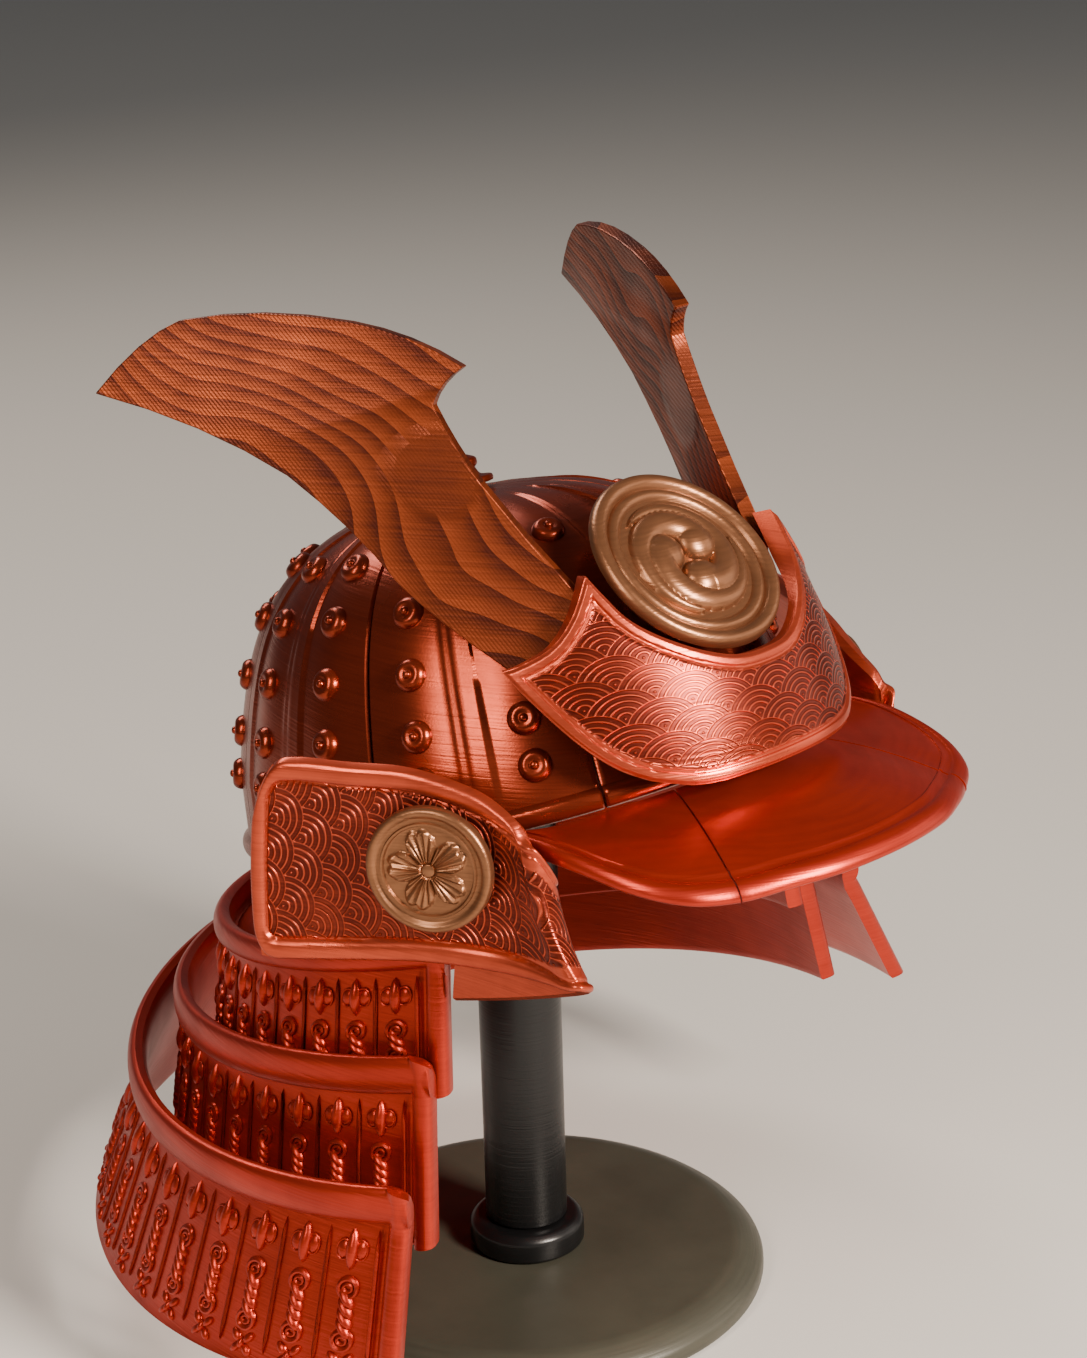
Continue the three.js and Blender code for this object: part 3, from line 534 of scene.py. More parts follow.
def visor_section(width):
    """Closed section of the visor: distance from its inner edge, and lift."""
    top = [(k / 8 * (width - 6), VISOR_HALF_WALL) for k in range(9)]
    line = [(width - back, VISOR_HALF_WALL + lift) for back, lift in VISOR_LINE]
    turns = [math.radians(a) for a in range(135, -136, -15)]
    middle = width - VISOR_BEAD
    bead = [(middle + VISOR_BEAD * math.cos(a), VISOR_BEAD * math.sin(a)) for a in turns]
    under = [(k / 8 * (width - 4), -VISOR_HALF_WALL) for k in range(8, -1, -1)]
    return top + line + bead + under + top[:1]


def visor():
    spans = [("visor_middle", -VISOR_SEAM, VISOR_SEAM), ("visor_right", VISOR_SEAM, VISOR_END),
             ("visor_left", -VISOR_END, -VISOR_SEAM)]
    steps = 60
    rows = len(visor_section(VISOR_WIDTH)) - 1
    for node, start, end in spans:
        away = -1 if node == "visor_middle" else 1

        def point(i, j):
            around = start + (end - start) * j / steps
            inner, rim = visor_edges(around)
            width = (rim - inner).length
            distance, lift = visor_section(width)[i]
            where = inner.lerp(rim, distance / width)
            where.z += lift + VISOR_ARCH * math.sin(math.pi * distance / width)
            if math.isclose(abs(around), VISOR_SEAM) and j in (0, steps):
                where.x += math.copysign(SEAM_GAP / 2, where.x) * away
            return where

        bm = close_ends(laid(rows, steps, point))
        make_piece(bm, node + "_sheet", COPPER_RED, HELMET_PLACE, [node])


# ---------------------------------------------------------------- horn holder
HOLDER_LENGTH, HOLDER_HOLLOW, HOLDER_WIDTH_RATIO, HOLDER_WALL = 75.4, 0.004, 0.777, 2.4
HOLDER_DEGREE = math.radians(1) * 66  # one degree round the front, in millimetres
# angle round the front, then the heights of the lower and upper edges, up to the tip beside
# the horn and from there to the outer corner
HOLDER_TO_TIP = [
    (-6.6, -0.2, 20.5),
    (0, -0.2, 20.0),
    (6.6, -0.2, 20.5),
    (12.4, -0.1, 22.7),
    (17.4, 0.1, 25.7),
    (21.9, 0.8, 29.2),
    (25.1, 2.0, 32.8),
    (27.5, 3.0, 37.5),
    (29.2, 3.8, 41.3),
]
HOLDER_TO_CORNER = [
    (29.2, 3.8, 41.3),
    (33.7, 7.2, 35.0),
    (38.4, 12.8, 30.9),
    (44.1, 22.3, 29.0),
    (47.2, 28.4, 28.6),
]
HOLDER_TIP, HOLDER_CORNER = 29.2, 47.2
HOLDER_FAN = (7.57, 5.03)  # half width and height of a fan of its pattern
HOLDER_BORDER = 1.9
BORDER_BAND = 4.6  # the depth of the rows laid close along the border
NEAR = 9.0  # only the outline this near along the plate is measured to
TIP_WALL = 2.0  # how much thicker the plate gets behind its tips, between two heights
TIP_WALL_FROM, TIP_WALL_TO = 24, 34


def holder_edges(angle):
    rows = HOLDER_TO_TIP if abs(angle) <= HOLDER_TIP else HOLDER_TO_CORNER
    _, lower, upper = read_table(rows, abs(angle))
    return lower, max(upper, lower + 0.1)


def holder_point(angle, z, behind=0.0):
    length = HOLDER_LENGTH - HOLDER_HOLLOW * z * z - behind
    turn = math.radians(angle)
    return Vector((-length * HOLDER_WIDTH_RATIO * math.sin(turn), -length * math.cos(turn), z))


def to_segment(point, a, b):
    """How far a point is from the line between a and b."""
    along = b - a
    part = min(max((point - a).dot(along) / max(along.length_squared, 1e-9), 0.0), 1.0)
    return (point - a - along * part).length


def horn_holder():
    columns, face_rows, band_rows, back_rows = 400, 84, 22, 6
    tip_columns = 0.62 * columns / 2  # from the middle to a tip
    angles = [-HOLDER_CORNER + 2 * HOLDER_CORNER * k / 48 for k in range(49)]
    angles = sorted(angles + [-HOLDER_TIP, HOLDER_TIP])
    lower_line = [Vector((a * HOLDER_DEGREE, holder_edges(a)[0])) for a in angles]
    upper_line = [Vector((a * HOLDER_DEGREE, holder_edges(a)[1])) for a in angles]
    edges = list(zip(lower_line, lower_line[1:])) + list(zip(upper_line, upper_line[1:]))

    def angle_at(j):
        column = j - columns / 2
        if abs(column) <= tip_columns:
            return HOLDER_TIP * column / tip_columns
        beyond = (abs(column) - tip_columns) / (columns / 2 - tip_columns)
        return math.copysign(HOLDER_TIP + (HOLDER_CORNER - HOLDER_TIP) * beyond, column)

    def on_sheet(i, j):
        angle = angle_at(j)
        lower, upper = holder_edges(angle)
        if i > face_rows:
            return angle, upper + (lower - upper) * (i - face_rows - 1) / back_rows
        near = min(BORDER_BAND, (upper - lower) * 0.45)
        if i <= band_rows:
            return angle, lower + near * i / band_rows
        if i >= face_rows - band_rows:
            return angle, upper - near * (face_rows - i) / band_rows
        part = (i - band_rows) / (face_rows - 2 * band_rows)
        return angle, lower + near + (upper - lower - 2 * near) * part

    inset = {}

    def from_edge(i, j):
        if (i, j) not in inset:
            angle, z = on_sheet(i, j)
            here = Vector((angle * HOLDER_DEGREE, z))
            near = [(a, b) for a, b in edges if min(abs(a.x - here.x), abs(b.x - here.x)) < NEAR]
            inset[i, j] = min(to_segment(here, a, b) for a, b in near)
        return inset[i, j]

    def point(i, j):
        angle, z = on_sheet(i, j)
        if i > face_rows:
            thicker = TIP_WALL * smoothstep(TIP_WALL_FROM, TIP_WALL_TO, z)
            return holder_point(angle, z, HOLDER_WALL + thicker)
        distance = from_edge(i, j)
        border = 0.55 * smoothstep(HOLDER_BORDER + 0.25, HOLDER_BORDER - 0.1, distance)
        line = 0.25 * ridge(distance - HOLDER_BORDER - 0.9, 0.24)
        rounding = 0.6 * (1 - smoothstep(0, 0.8, distance))
        return holder_point(angle, z, 0.4 - border - line + rounding)

    def surface(i, j):
        angle, z = on_sheet(i, j)
        return (angle * HOLDER_DEGREE / HOLDER_FAN[0], z / HOLDER_FAN[1])

    def field(i, j):
        if i > face_rows:
            return 0.0
        return smoothstep(HOLDER_BORDER + 0.9, HOLDER_BORDER + 1.2, from_edge(i, j))

    bm = close_ends(laid(face_rows + back_rows + 1, columns, point, surface, field))
    make_piece(bm, "horn_holder_plate", COPPER_RED_WAVES, HELMET_PLACE, ["horn_holder"])


# ---------------------------------------------------------------- horns
def horns():
    """The two flat blades, with their long edges broken."""
    broken, flat, square = 0.3 * MM, math.radians(2), math.radians(50)
    for node, material in (("horn_right", BLADE_RIGHT), ("horn_left", BLADE_LEFT)):
        bm = bmesh.new()
        bm.from_mesh(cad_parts[node].data)
        bmesh.ops.remove_doubles(bm, verts=bm.verts, dist=2 * MERGE * MM)
        bmesh.ops.dissolve_limit(bm, angle_limit=flat, verts=bm.verts, edges=bm.edges)
        outline = [edge for edge in bm.edges if edge.is_manifold and edge.calc_face_angle(0) > square]
        bmesh.ops.bevel(bm, geom=outline, offset=broken, segments=2, profile=0.5, affect="EDGES",
                        material=-1)
        make_piece(bm, node + "_blade", material, Matrix.Identity(4), [node], sharp=25)


# ---------------------------------------------------------------- disc and medallions
def embossed(front, back, sides, relief):
    """A round plate. front and back are (radius, height) pairs from its middle to its rim, and
    relief(radius, turn) raises the front."""
    profile = front + back[::-1]

    def point(i, j):
        radius, height = profile[i]
        turn = FULL_TURN * j / sides
        if i < len(front):
            height += relief(radius, turn)
        return (radius * math.cos(turn), radius * math.sin(turn), height)

    return close_ends(laid(len(profile) - 1, sides, point))


DISC_RADIUS, DISC_THICKNESS = 19.6, 3.4
DISC_AT = (0, -60.5, 38.4)
DISC_FACING = (0, -math.cos(math.radians(32.7)), math.sin(math.radians(32.7)))
SWIRL_FIELD = 13.7
COMMA_HEIGHT, COMMA_HEAD, COMMA_REACH = 2.9, 4.1, 4.9  # the head's radius, and how far out it lies
COMMA_TURN = math.radians(215)  # how far round its tail runs
# the disc's rings: radius and height
DISC_RINGS = [(13.9, -0.7), (14.2, -0.3), (14.7, -0.05), (15.2, 0), (15.7, -0.15), (16.05, -0.55),
              (16.3, -0.85), (16.55, -0.6), (16.8, -0.1), (17.3, 0.3), (18, 0.5), (18.7, 0.35),
              (19.2, -0.05), (19.5, -0.7)]


def swirl(radius, turn):
    """Three commas (mitsudomoe): a round head near the middle and a tail that runs out."""
    if radius >= SWIRL_FIELD - 0.1:
        return 0
    height = 0.0
    here = Vector((radius * math.cos(turn), radius * math.sin(turn)))
    for k in range(3):
        start = math.radians(30 + 120 * k)
        head = Vector((COMMA_REACH * math.cos(start), COMMA_REACH * math.sin(start)))
        height = max(height, COMMA_HEIGHT * dome((here - head).length, COMMA_HEAD))
        part = ((turn - start) % FULL_TURN) / COMMA_TURN
        if part < 1:
            spine = 5.3 + 7.0 * part**0.8
            width = 3.6 * (1 - part) ** 0.6 + 0.15
            height = max(height, COMMA_HEIGHT * (1 - 0.65 * part) * dome(radius - spine, width))
    return height


def front_disc():
    r, t, stub = DISC_RADIUS, DISC_THICKNESS, 5  # a stub behind it reaches the horn holder
    field = [(SWIRL_FIELD * k / 64, -0.9) for k in range(65)]
    back = [(0, -t - stub), (stub, -t - stub), (stub, -t), (r - 1.6, -t), (r, -t + 1.6), (r, -1.2)]
    bm = embossed(field + DISC_RINGS, back, 220, swirl)
    place = HELMET_PLACE @ aimed(DISC_AT, DISC_FACING)
    make_piece(bm, "front_disc_face", BRONZE, place, ["front_disc"])


MEDALLION_RADIUS, MEDALLION_THICKNESS = 11.8, 2.6
MEDALLION_AT = Vector((-60.4, -38, -1.7))
MEDALLION_FACING = Vector((-0.89, -0.44, -0.1))
BLOSSOM_FIELD, HEART, PETAL = 8.1, 1.5, FULL_TURN / 5
MEDALLION_RINGS = [(8.3, -0.75), (8.55, -0.2), (8.9, -0.15), (9.1, -0.6), (9.6, -0.65), (10, -0.5),
                   (10.3, -0.1), (10.8, 0.1), (11.3, 0), (11.7, -0.45)]


def blossom(radius, turn):
    """A plain five-petalled flower with ribbed petals and a round heart."""
    if radius > BLOSSOM_FIELD + 0.1:
        return 0
    petal = (turn + math.pi / 2) % PETAL - PETAL / 2
    reach = 8.0 * math.cos(petal * 2.1) ** 0.45 - 0.9 * ridge(petal, 0.07)
    if radius > reach or radius < 1.2:
        return 0.55 * dome(radius, HEART)
    body = min(1.0, (reach - radius) / 0.5) * smoothstep(1.2, 1.9, radius)
    ribs = 0.75 + 0.25 * math.cos(petal * 30)
    between = smoothstep(0, 0.09, PETAL / 2 - abs(petal))
    return 0.85 * body * ribs * between


def medallions():
    r, t = MEDALLION_RADIUS, MEDALLION_THICKNESS
    field = [(BLOSSOM_FIELD * k / 44, -0.8) for k in range(45)]
    back = [(0, -t), (r - 0.6, -t), (r, -t + 0.6), (r, -0.9)]
    for side, mirror in SIDES.items():
        node = "medallion_" + side
        bm = embossed(field + MEDALLION_RINGS, back, 160, blossom)
        place = HELMET_PLACE @ mirror @ aimed(MEDALLION_AT, MEDALLION_FACING)
        make_piece(bm, node + "_face", BRONZE, place, [node])


# ---------------------------------------------------------------- turn-backs
TURNBACK_WALL = 2.2
TURNBACK_BORDER, FOLD_BORDER = 4.2, 1.6  # at its end, and at the fold
TURNBACK_FAN = 6.3  # radius of a fan of its pattern
FAN_LEAN = math.radians(20)  # the fans face forwards and a little up
FAN_SHIFT = (3.4, 10)  # of the pattern over the leaf, in radii of a fan
TURNBACK_CORNER = 7.0
TURNBACK_EDGE = 1.1  # radius of its rounded edge
# section, x, y and z of its top, y and z of its foot, and how far its middle bows back
TURNBACK_SECTIONS = [
    (0, 48.2, -32, -8, -22, -30, 0),
    (1, 46.9, -42, -8, -36, -30.4, 0),
    (2, 46.3, -51, -8, -50, -30, 0),
    (3, 47.6, -54.6, -7.4, -56.8, -29, 1.6),
    (4, 50.6, -56, -1.5, -58.6, -27.6, 2.8),
    (5, 50.9, -54.6, 0.9, -56.4, -27.2, 2),
    (6, 50.6, -53.4, 3.6, -52.3, -26.3, 0.8),
    (7, 50.8, -50.4, 6.9, -46.9, -24.9, 0.4),
    (8, 51.8, -46.8, 10.2, -41, -23.3, 0),
    (9, 54.8, -41.2, 14.2, -33.3, -20.8, 0),
    (10, 58, -35.3, 17.3, -24.1, -18.7, 0),
    (11, 62.4, -27.5, 19.8, -13, -16.7, 0.4),
    (12, 66.8, -19.7, 22.5, -4.3, -14.9, 0.8),
    (13, 69, -15.2, 22.5, 0.1, -14, 1.2),
    (14, 70, -9.5, 17.9, 2.4, -13.3, 1.7),
]


def turnback_point(section, part):
    """A point of the turn-back's middle sheet: section along it, part from its foot to its top."""
    _, x, y_top, z_top, y_foot, z_foot, bow = read_table(TURNBACK_SECTIONS, section)
    y = y_foot + (y_top - y_foot) * part + bow * 4 * part * (1 - part)
    return Vector((-x, y, z_foot + (z_top - z_foot) * part))


def turnback():
    """The wearer's right leaf, from its fold to its free end."""
    columns, face_rows, back_rows = 230, 120, 24
    last = TURNBACK_SECTIONS[-1][0]
    sections = [last * j / columns for j in range(columns + 1)]
    middles = [turnback_point(section, 0.5) for section in sections]
    travelled = [0.0]
    for a, b in zip(middles, middles[1:]):
        travelled.append(travelled[-1] + (b - a).length)
    uprights = [turnback_point(section, 1) - turnback_point(section, 0) for section in sections]
    heights = [upright.length for upright in uprights]
    outwards = []
    for section, upright in zip(sections, uprights):
        before, after = max(section - 0.6, 0), min(section + 0.6, last)
        ahead = turnback_point(after, 0.5) - turnback_point(before, 0.5)
        outwards.append(upright.cross(ahead * Vector((1, 1, 0))).normalized())

    def part_at(i):
        return i / face_rows if i <= face_rows else 1 - (i - face_rows - 1) / back_rows

    def from_edge(i, j):
        part = part_at(i)
        up = min(part, 1 - part) * heights[j]
        along = travelled[-1] - travelled[j]
        if max(up, along) < TURNBACK_CORNER:
            return TURNBACK_CORNER - math.hypot(TURNBACK_CORNER - up, TURNBACK_CORNER - along)
        return min(up, along)

    def point(i, j):
        here = turnback_point(sections[j], part_at(i))
        distance = max(from_edge(i, j), 0)
        half_wall = TURNBACK_WALL / 2 * dome(min(distance, TURNBACK_EDGE) - TURNBACK_EDGE, TURNBACK_EDGE)
        if i > face_rows:
            return here - outwards[j] * half_wall
        fuller = smoothstep(4, 8.5, sections[j])  # the border is thinner towards the fold
        border = FOLD_BORDER + (TURNBACK_BORDER - FOLD_BORDER) * fuller
        roll = (0.3 + 0.7 * fuller) * dome(distance - border / 2, border / 2)
        groove = 0.25 * ridge(distance - border - 0.3, 0.35)
        return here + outwards[j] * (half_wall + roll - groove)

    def surface(i, j):
        along, rise = travelled[-1] - travelled[j], part_at(i) * heights[j]
        up = along * math.cos(FAN_LEAN) + rise * math.sin(FAN_LEAN)
        across = rise * math.cos(FAN_LEAN) - along * math.sin(FAN_LEAN)
        return (across / TURNBACK_FAN + FAN_SHIFT[0], up / TURNBACK_FAN + FAN_SHIFT[1])

    def field(i, j):
        if i > face_rows:
            return 0.0
        return smoothstep(TURNBACK_BORDER + 0.3, TURNBACK_BORDER + 0.8, from_edge(i, j))

    return close_ends(laid(face_rows + back_rows + 1, columns, point, surface, field))


def turnbacks():
    for side, mirror in SIDES.items():
        node = "turnback_" + side
        place = HELMET_PLACE @ mirror
        make_piece(turnback(), node + "_leaf", COPPER_RED_WAVES, place, [node])


# ---------------------------------------------------------------- neck guard
TIER_WALL, TIER_ROLL = 2.0, 2.0
TIER_CORNER, TIER_CORNER_RUN = 3.0, 5.0  # how far the top drops at a front corner, and over what
TIER_FRAME, FRAME_ROLL = 4.2, 2.1  # width and height of the rolled border up each front edge
FRAME_GROOVE, RIB = 1.1, 0.7  # beyond the border, a low rib
STRIPS_FROM = 6.2  # the front edge
CLOSE_ROWS, CLOSE_STEP = 31, 0.22  # of points laid close together at each front edge
MIDDLE_ROWS, MIDDLE_FROM = 170, 6.8  # and of those between them
MEASURED_DOWN = 15  # distances round a tier are taken this far below its top
TWIST = 1.95  # from one twist of a cord to the next
# Each tier's outline from above and how it hangs. open is where its front edges lie, in degrees
# from the front, band the depth of its rolled top band and strip the width of a strip of lacing.
TIERS = [
    dict(node="neck_tier_1", half_width=55.8, half_length=62.8, centre=8.7, height=-18,
         rise=0.07, skew=0.02, backward=0.3, open=59.8, depth=26.5, flare=3.7, band=2.6, strip=8.75),
    dict(node="neck_tier_2", half_width=61.5, half_length=77.5, centre=13.4, height=-33.5,
         rise=0.11, skew=0.08, backward=0.34, open=65.1, depth=33.9, flare=5.7, band=5.2, strip=10.3),
    dict(node="neck_tier_3", half_width=75.6, half_length=84.7, centre=15.6, height=-46.3,
         rise=0.2, skew=0.15, backward=0.45, open=65.5, depth=33, flare=12.8, band=5.2, strip=10.4),
]


def tier_point(tier, azimuth, down, out):
    """A point of a tier, at a depth below its top edge and so far out from its skin there."""
    x = -(tier["half_width"] + out) * math.sin(azimuth)
    y = tier["centre"] - (tier["half_length"] + out) * math.cos(azimuth)
    z = tier["height"] + tier["rise"] * y + tier["skew"] * x - down
    return Vector((x + tier["skew"] * down, y + tier["backward"] * down, z))


def tier_run(tier):
    """Azimuths along a tier, with the distance travelled to each from one front edge."""
    start = math.radians(tier["open"])
    azimuths = [start + (FULL_TURN - 2 * start) * k / 720 for k in range(721)]
    points = [tier_point(tier, azimuth, MEASURED_DOWN, 0) for azimuth in azimuths]
    travelled = [0.0]
    for a, b in zip(points, points[1:]):
        travelled.append(travelled[-1] + (b - a).length)
    return azimuths, travelled


def azimuth_at(run, distance):
    azimuths, travelled = run
    i = min(max(bisect_right(travelled, distance) - 1, 0), len(azimuths) - 2)
    part = (distance - travelled[i]) / (travelled[i + 1] - travelled[i])
    return azimuths[i] + (azimuths[i + 1] - azimuths[i]) * part


def skirt_out(tier, down):
    """How far the flared skirt stands out at a depth."""
    return tier["flare"] * max(down - tier["band"], 0) / (tier["depth"] - tier["band"])


def tier_section(tier):
    """Closed section of a tier: rolled band, skirt, and the plain inner face."""
    foot, depth, flare = tier["band"], tier["depth"], tier["flare"]
    turns = [math.radians(a) for a in range(0, 181, 12)]
    middle, half = foot / 2 - 1.2, foot / 2 + 1.2
    band = [(middle - half * math.cos(a), TIER_ROLL * math.sin(a) ** 0.7) for a in turns]
    downs = [foot + (depth - foot) * k / 20 for k in range(1, 20)]
    skirt = [(down, skirt_out(tier, down)) for down in downs]
    hem = [(depth - 0.5, flare), (depth, flare - 0.4), (depth, flare - 1.6),
           (depth - 0.4, flare - TIER_WALL)]
    inner = [(down, skirt_out(tier, down) - TIER_WALL) for down in downs[::-3]]
    top = [(2, -TIER_WALL), (0, -TIER_WALL), (-1.6, -1.4)]
    return band + skirt + hem + inner + top + band[:1]


def tier_shell(tier, run):
    length = run[1][-1]
    close = [CLOSE_STEP * k for k in range(CLOSE_ROWS)]
    between = (length - 2 * MIDDLE_FROM) / MIDDLE_ROWS
    middle = [MIDDLE_FROM + between * k for k in range(MIDDLE_ROWS + 1)]
    stations = close + middle + [length - station for station in close[::-1]]
    section = tier_section(tier)
    band_rows, skirt_rows = 16, 21

    def point(i, j):
        station = stations[j]
        from_edge = min(station, length - station)
        down, out = section[i]
        if i < band_rows + skirt_rows and from_edge < TIER_FRAME:
            roll = FRAME_ROLL * dome(from_edge - TIER_FRAME / 2, TIER_FRAME / 2)
            out = max(out, skirt_out(tier, max(down, 0)) + roll)
        if band_rows < i < band_rows + skirt_rows:
            out += RIB * ridge(from_edge - TIER_FRAME - FRAME_GROOVE, 0.35)
        corner = 1 - dome(min(from_edge, TIER_CORNER_RUN) - TIER_CORNER_RUN, TIER_CORNER_RUN)
        lowered = TIER_CORNER * corner * (1 - smoothstep(-2.4, 9, down))
        return tier_point(tier, azimuth_at(run, station), down + lowered, out)

    bm = close_ends(laid(len(section) - 1, len(stations) - 1, point))
    make_piece(bm, tier["node"] + "_shell", COPPER_RED, HELMET_PLACE, [tier["node"]])


def bead(bm, at, size, turn=0.0, point=0.0, blunt=False):
    """A low rounded lump at (across, down) on a strip, drawn to points at its ends or blunt."""
    made = bmesh.ops.create_uvsphere(bm, u_segments=10, v_segments=8, radius=1)["verts"]
    spin = Matrix.Rotation(math.radians(turn), 3, "Z")
    half = Vector((size[0] / 2, size[1] / 2, size[2]))
    for vert in made:
        x, y, z = vert.co
        narrow = max(1 - abs(y), 0.0) ** point if point else 1
        if blunt and math.hypot(x, z) > 0.05:
            narrow = 1 / math.hypot(x, z)
        vert.co = spin @ (Vector((x * narrow, y, z * narrow)) * half) + Vector((*at, 0))


def cord_ring(bm, at, size, thickness):
    """A flattened ring of cord at (across, down), which stands out from the strip."""
    stands_out, radius = 0.25, thickness / 2
    made = bmesh.ops.create_circle(bm, segments=7, radius=radius)["verts"]
    bmesh.ops.rotate(bm, verts=made, matrix=Matrix.Rotation(math.pi / 2, 3, "X"))
    bmesh.ops.translate(bm, verts=made, vec=(1, 0, 0))
    edges = list({edge for vert in made for edge in vert.link_edges})
    bmesh.ops.spin(bm, geom=made + edges, cent=(0, 0, 0), axis=(0, 0, 1), dvec=(0, 0, 0),
                   angle=FULL_TURN, steps=16, use_merge=True)
    ring = set(made)
    grown = True
    while grown:
        more = {edge.other_vert(vert) for vert in ring for edge in vert.link_edges} - ring
        grown = bool(more)
        ring |= more
    for vert in ring:
        from_middle = math.hypot(vert.co.x, vert.co.y)
        offset = from_middle - 1
        across = at[0] + vert.co.x / from_middle * (size[0] / 2 + offset)
        down = at[1] + vert.co.y / from_middle * (size[1] / 2 + offset)
        vert.co = (across, down, vert.co.z + stands_out)


def strip_mesh(tier, pitch):
    """What one strip carries: a knot with two loops, a cord twisted below it, and a bow. A
    ridge runs down between it and the next."""
    bm = bmesh.new()
    band, depth = tier["band"], tier["depth"]
    knot = band + 4.8
    loop, low_loop, bow = knot + 6.3, depth - 8, depth - 3.9
    bead(bm, (0, knot), (2.8, 7.1, 1.6), point=0.12)
    for side in (-1, 1):
        bead(bm, (side * 1.9, knot), (2.9, 3.2, 0.75))
        cord_ring(bm, (side * 1.8, knot), (3.0, 3.4), 0.35)
        bead(bm, (side * 1.4, bow - 1.0), (1.5, 2.8, 0.9), turn=side * 55)
        bead(bm, (side * 1.3, bow + 1.1), (1.4, 2.6, 0.8), turn=side * -50)
        edge = (side * pitch / 2, (depth + band) / 2 - 0.8)
        bead(bm, edge, (1.0, depth - band - 4, 0.6), blunt=True)
    bead(bm, (0, bow), (1.4, 1.9, 1.2))
    for at in (loop, low_loop):
        cord_ring(bm, (0, at), (3.8, 3.1), 0.95)
        cord_ring(bm, (0, at), (1.8, 1.3), 0.7)
    twists = max(round((low_loop - loop) / TWIST), 1)
    for k in range(twists):
        down = loop + 1 + (low_loop - loop - 2) * (k + 0.5) / twists
        bead(bm, (0, down), (1.6, 4.5, 1.3), turn=47)
    return as_mesh(bm, tier["node"] + "_strip")


def tier_lacing(tier, run):
    usable = run[1][-1] - 2 * STRIPS_FROM
    count = round(usable / tier["strip"])
    pitch = usable / count
    strip = strip_mesh(tier, pitch)
    bm = bmesh.new()
    for k in range(count):
        middle = STRIPS_FROM + pitch * (k + 0.5)

        def on_skirt(co):
            down = min(co.y, tier["depth"] - 0.3)
            return tier_point(tier, azimuth_at(run, middle + co.x), down, skirt_out(tier, down) + co.z)

        add_mesh(bm, strip, on_skirt)
    make_piece(bm, tier["node"] + "_lacing", COPPER_RED, HELMET_PLACE)


def neck_flange():
    """The ring that carries the neck guard, from below the bowl's rim to inside its top tier."""
    start = math.radians(78)
    columns, corners = 120, 6
    inside = -TIER_WALL - 0.55  # of the top tier

    def point(i, j):
        azimuth = start + (FULL_TURN - 2 * start) * j / columns
        ring = [
            rim_point(azimuth, -GAP),
            rim_point(azimuth, -9, -2.4),
            tier_point(TIERS[0], azimuth, 3, inside),
            tier_point(TIERS[0], azimuth, 5, inside),
            rim_point(azimuth, -9, -4.4),
            rim_point(azimuth, -GAP, -2),
        ]
        return ring[i % corners]

    bm = close_ends(laid(corners, columns, point))
    make_piece(bm, "neck_flange_ring", COPPER_RED, HELMET_PLACE, ["neck_flange"])


def neck_guard():
    neck_flange()
    for tier in TIERS:
        run = tier_run(tier)
        tier_shell(tier, run)
        tier_lacing(tier, run)


# ---------------------------------------------------------------- stand
# radius and height
STAND_BASE = [(0, 0), (48.7, 0), (49.7, 1), (49.7, 3.4), (47.1, 5.6), (44, 7), (0, 7)]
STAND_COLLAR = [(0, 7.35), (12, 7.35), (12, 11.95), (10.6, 13.35), (0, 13.35)]
STAND_POLE = [(0, 13.7), (8.5, 13.7), (8.5, 145.65), (0, 145.65)]
STAND_CAP = [(0, 146), (14, 146), (15, 147), (15, 150), (12, 152.2), (0, 153)]


def stand():
    base = turned(rounded(STAND_BASE, 1.4), 128)
    make_piece(base, "stand_base_round", SMOKE_GREY, STAND_PLACE, ["stand_base"])
    collar = turned(rounded(STAND_COLLAR, 0.8), 96)
    make_piece(collar, "stand_collar_ring", BLACK, STAND_PLACE, ["stand_collar"])
    pole = turned(rounded(STAND_POLE, 0.4), 96)
    make_piece(pole, "stand_pole_tube", BLACK, STAND_PLACE, ["stand_pole"])
    cap = turned(rounded(STAND_CAP, 0.8), 96)
    make_piece(cap, "stand_cap_dome", BLACK, STAND_PLACE, ["stand_cap"])


# ---------------------------------------------------------------- floor, lights and camera
FLOOR_GREY, WORLD_GREY, LAMP_WHITE = 0xC9C7C2, 0xB8BABD, 0xFFF0E2
WORLD_STRENGTH = 0.22
LIT_POINT = Vector((0, 0, 0.11))  # what the lamps are turned towards, in metres
# where each softbox stands and its size, in metres, and its power in watts
SOFTBOXES = {
    "key_softbox": ((0.0, -0.7, 0.48), (0.17, 0.17), 17),
    "side_softbox": ((-0.7, -0.1, 0.6), (0.18, 0.5), 5),
    "fill_softbox": ((0.7, -0.5, 0.35), (0.5, 0.5), 1.5),
    "back_softbox": ((0.2, 0.8, 0.8), (0.5, 0.3), 5),
}
# how far the camera is turned round, looks down and is rolled, and where it stands: to the
# right of, above and back from the middle of the object
CAMERA_TURN, CAMERA_DOWN, CAMERA_ROLL = [math.radians(a) for a in (46.1, 20.1, 1.64)]
CAMERA_RIGHT, CAMERA_UP, CAMERA_BACK = 6.72, 30.22, 601.3
CAMERA_MIDDLE = Vector((0, 0, 100))
CAMERA_LENS, CAMERA_SENSOR = 79.53, 36


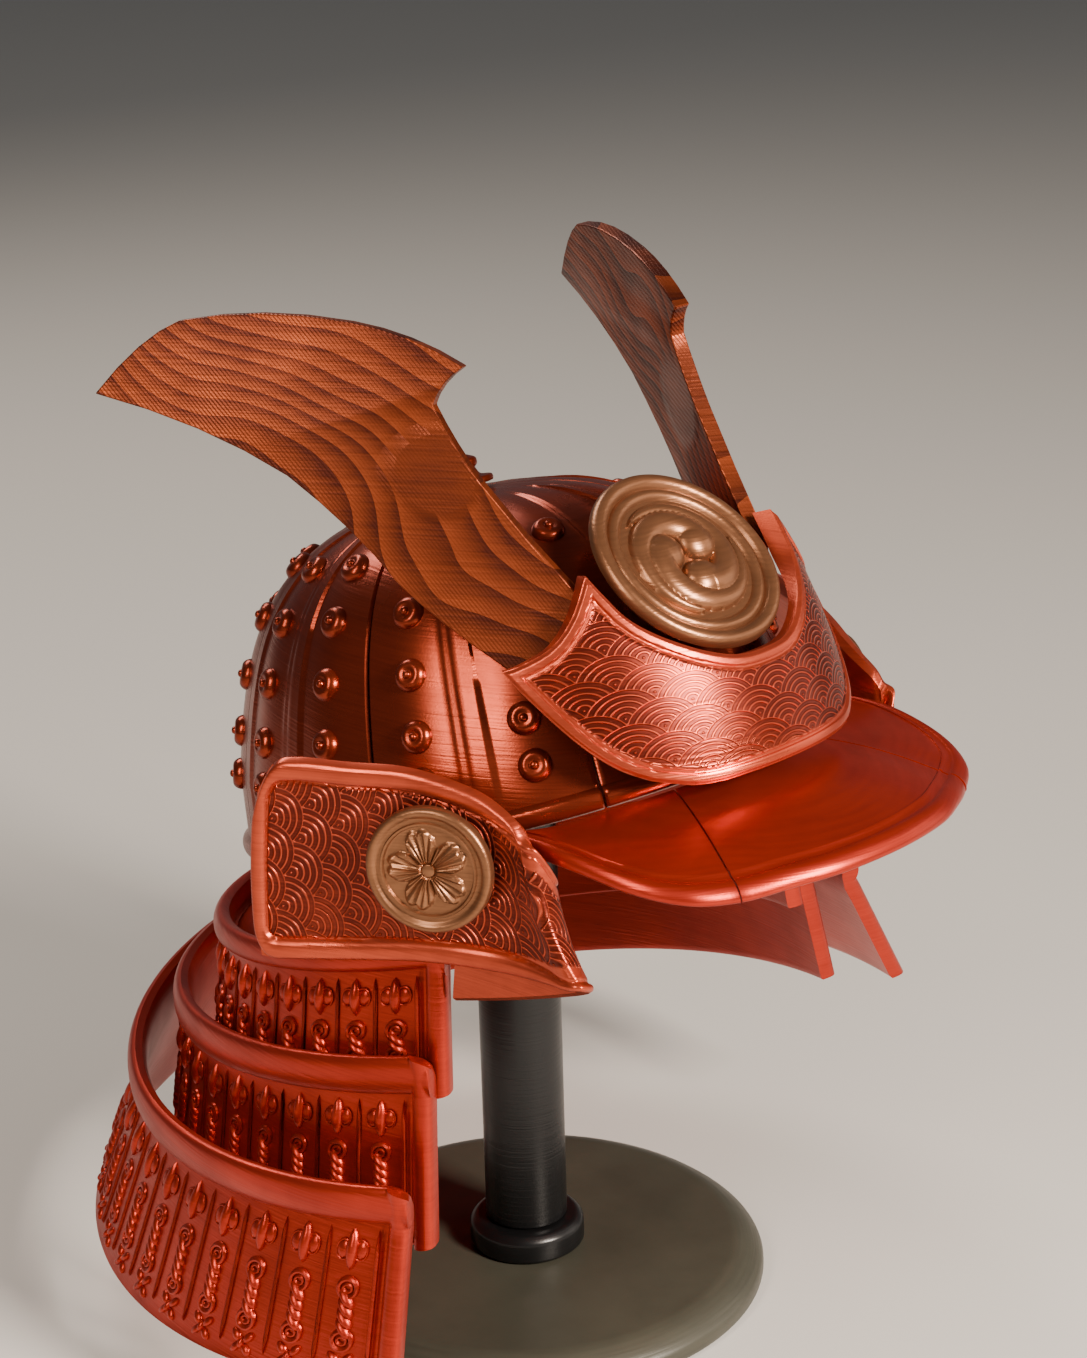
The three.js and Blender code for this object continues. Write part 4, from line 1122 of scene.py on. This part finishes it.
def floor():
    material = bpy.data.materials.new("floor_pale")
    material.use_nodes = True
    shader = material.node_tree.nodes["Principled BSDF"]
    shader.inputs["Base Color"].default_value = linear(FLOOR_GREY)
    shader.inputs["Roughness"].default_value = 0.7
    bm = bmesh.new()
    bmesh.ops.create_grid(bm, x_segments=1, y_segments=1, size=4)
    mesh = as_mesh(bm, "floor")
    mesh.materials.append(material)
    plane = bpy.data.objects.new("floor", mesh)
    bpy.context.collection.objects.link(plane)


def studio():
    for name, (at, size, power) in SOFTBOXES.items():
        light = bpy.data.lights.new(name, "AREA")
        light.shape = "RECTANGLE"
        light.size, light.size_y = size
        light.energy = power
        light.color = linear(LAMP_WHITE)[:3]
        lamp = bpy.data.objects.new(name, light)
        facing = (Vector(at) - LIT_POINT).to_track_quat("Z", "Y").to_matrix().to_4x4()
        lamp.matrix_world = Matrix.Translation(at) @ facing
        bpy.context.collection.objects.link(lamp)
    world = bpy.data.worlds.new("studio_world")
    world.use_nodes = True
    background = world.node_tree.nodes["Background"]
    background.inputs["Color"].default_value = linear(WORLD_GREY)
    background.inputs["Strength"].default_value = WORLD_STRENGTH
    bpy.context.scene.world = world


def camera():
    turn, down, roll = CAMERA_TURN, CAMERA_DOWN, CAMERA_ROLL
    level = Vector((math.sin(turn), math.cos(turn), 0))
    right = Vector((math.cos(turn), -math.sin(turn), 0))
    forward = level * math.cos(down) - Vector((0, 0, math.sin(down)))
    up = level * math.sin(down) + Vector((0, 0, math.cos(down)))
    eye = CAMERA_MIDDLE + right * CAMERA_RIGHT + up * CAMERA_UP - forward * CAMERA_BACK
    rolled_right = right * math.cos(roll) - up * math.sin(roll)
    rolled_up = right * math.sin(roll) + up * math.cos(roll)
    facing = Matrix((rolled_right, rolled_up, -forward)).transposed().to_4x4()
    data = bpy.data.cameras.new("camera")
    data.sensor_width = CAMERA_SENSOR
    data.lens = CAMERA_LENS
    data.clip_start = 0.05
    view = bpy.data.objects.new("camera", data)
    view.matrix_world = Matrix.Translation(eye * MM) @ facing
    bpy.context.collection.objects.link(view)
    bpy.context.scene.camera = view


camera()
floor()
studio()
bowl()
visor()
horn_holder()
horns()
front_disc()
medallions()
turnbacks()
neck_guard()
stand()
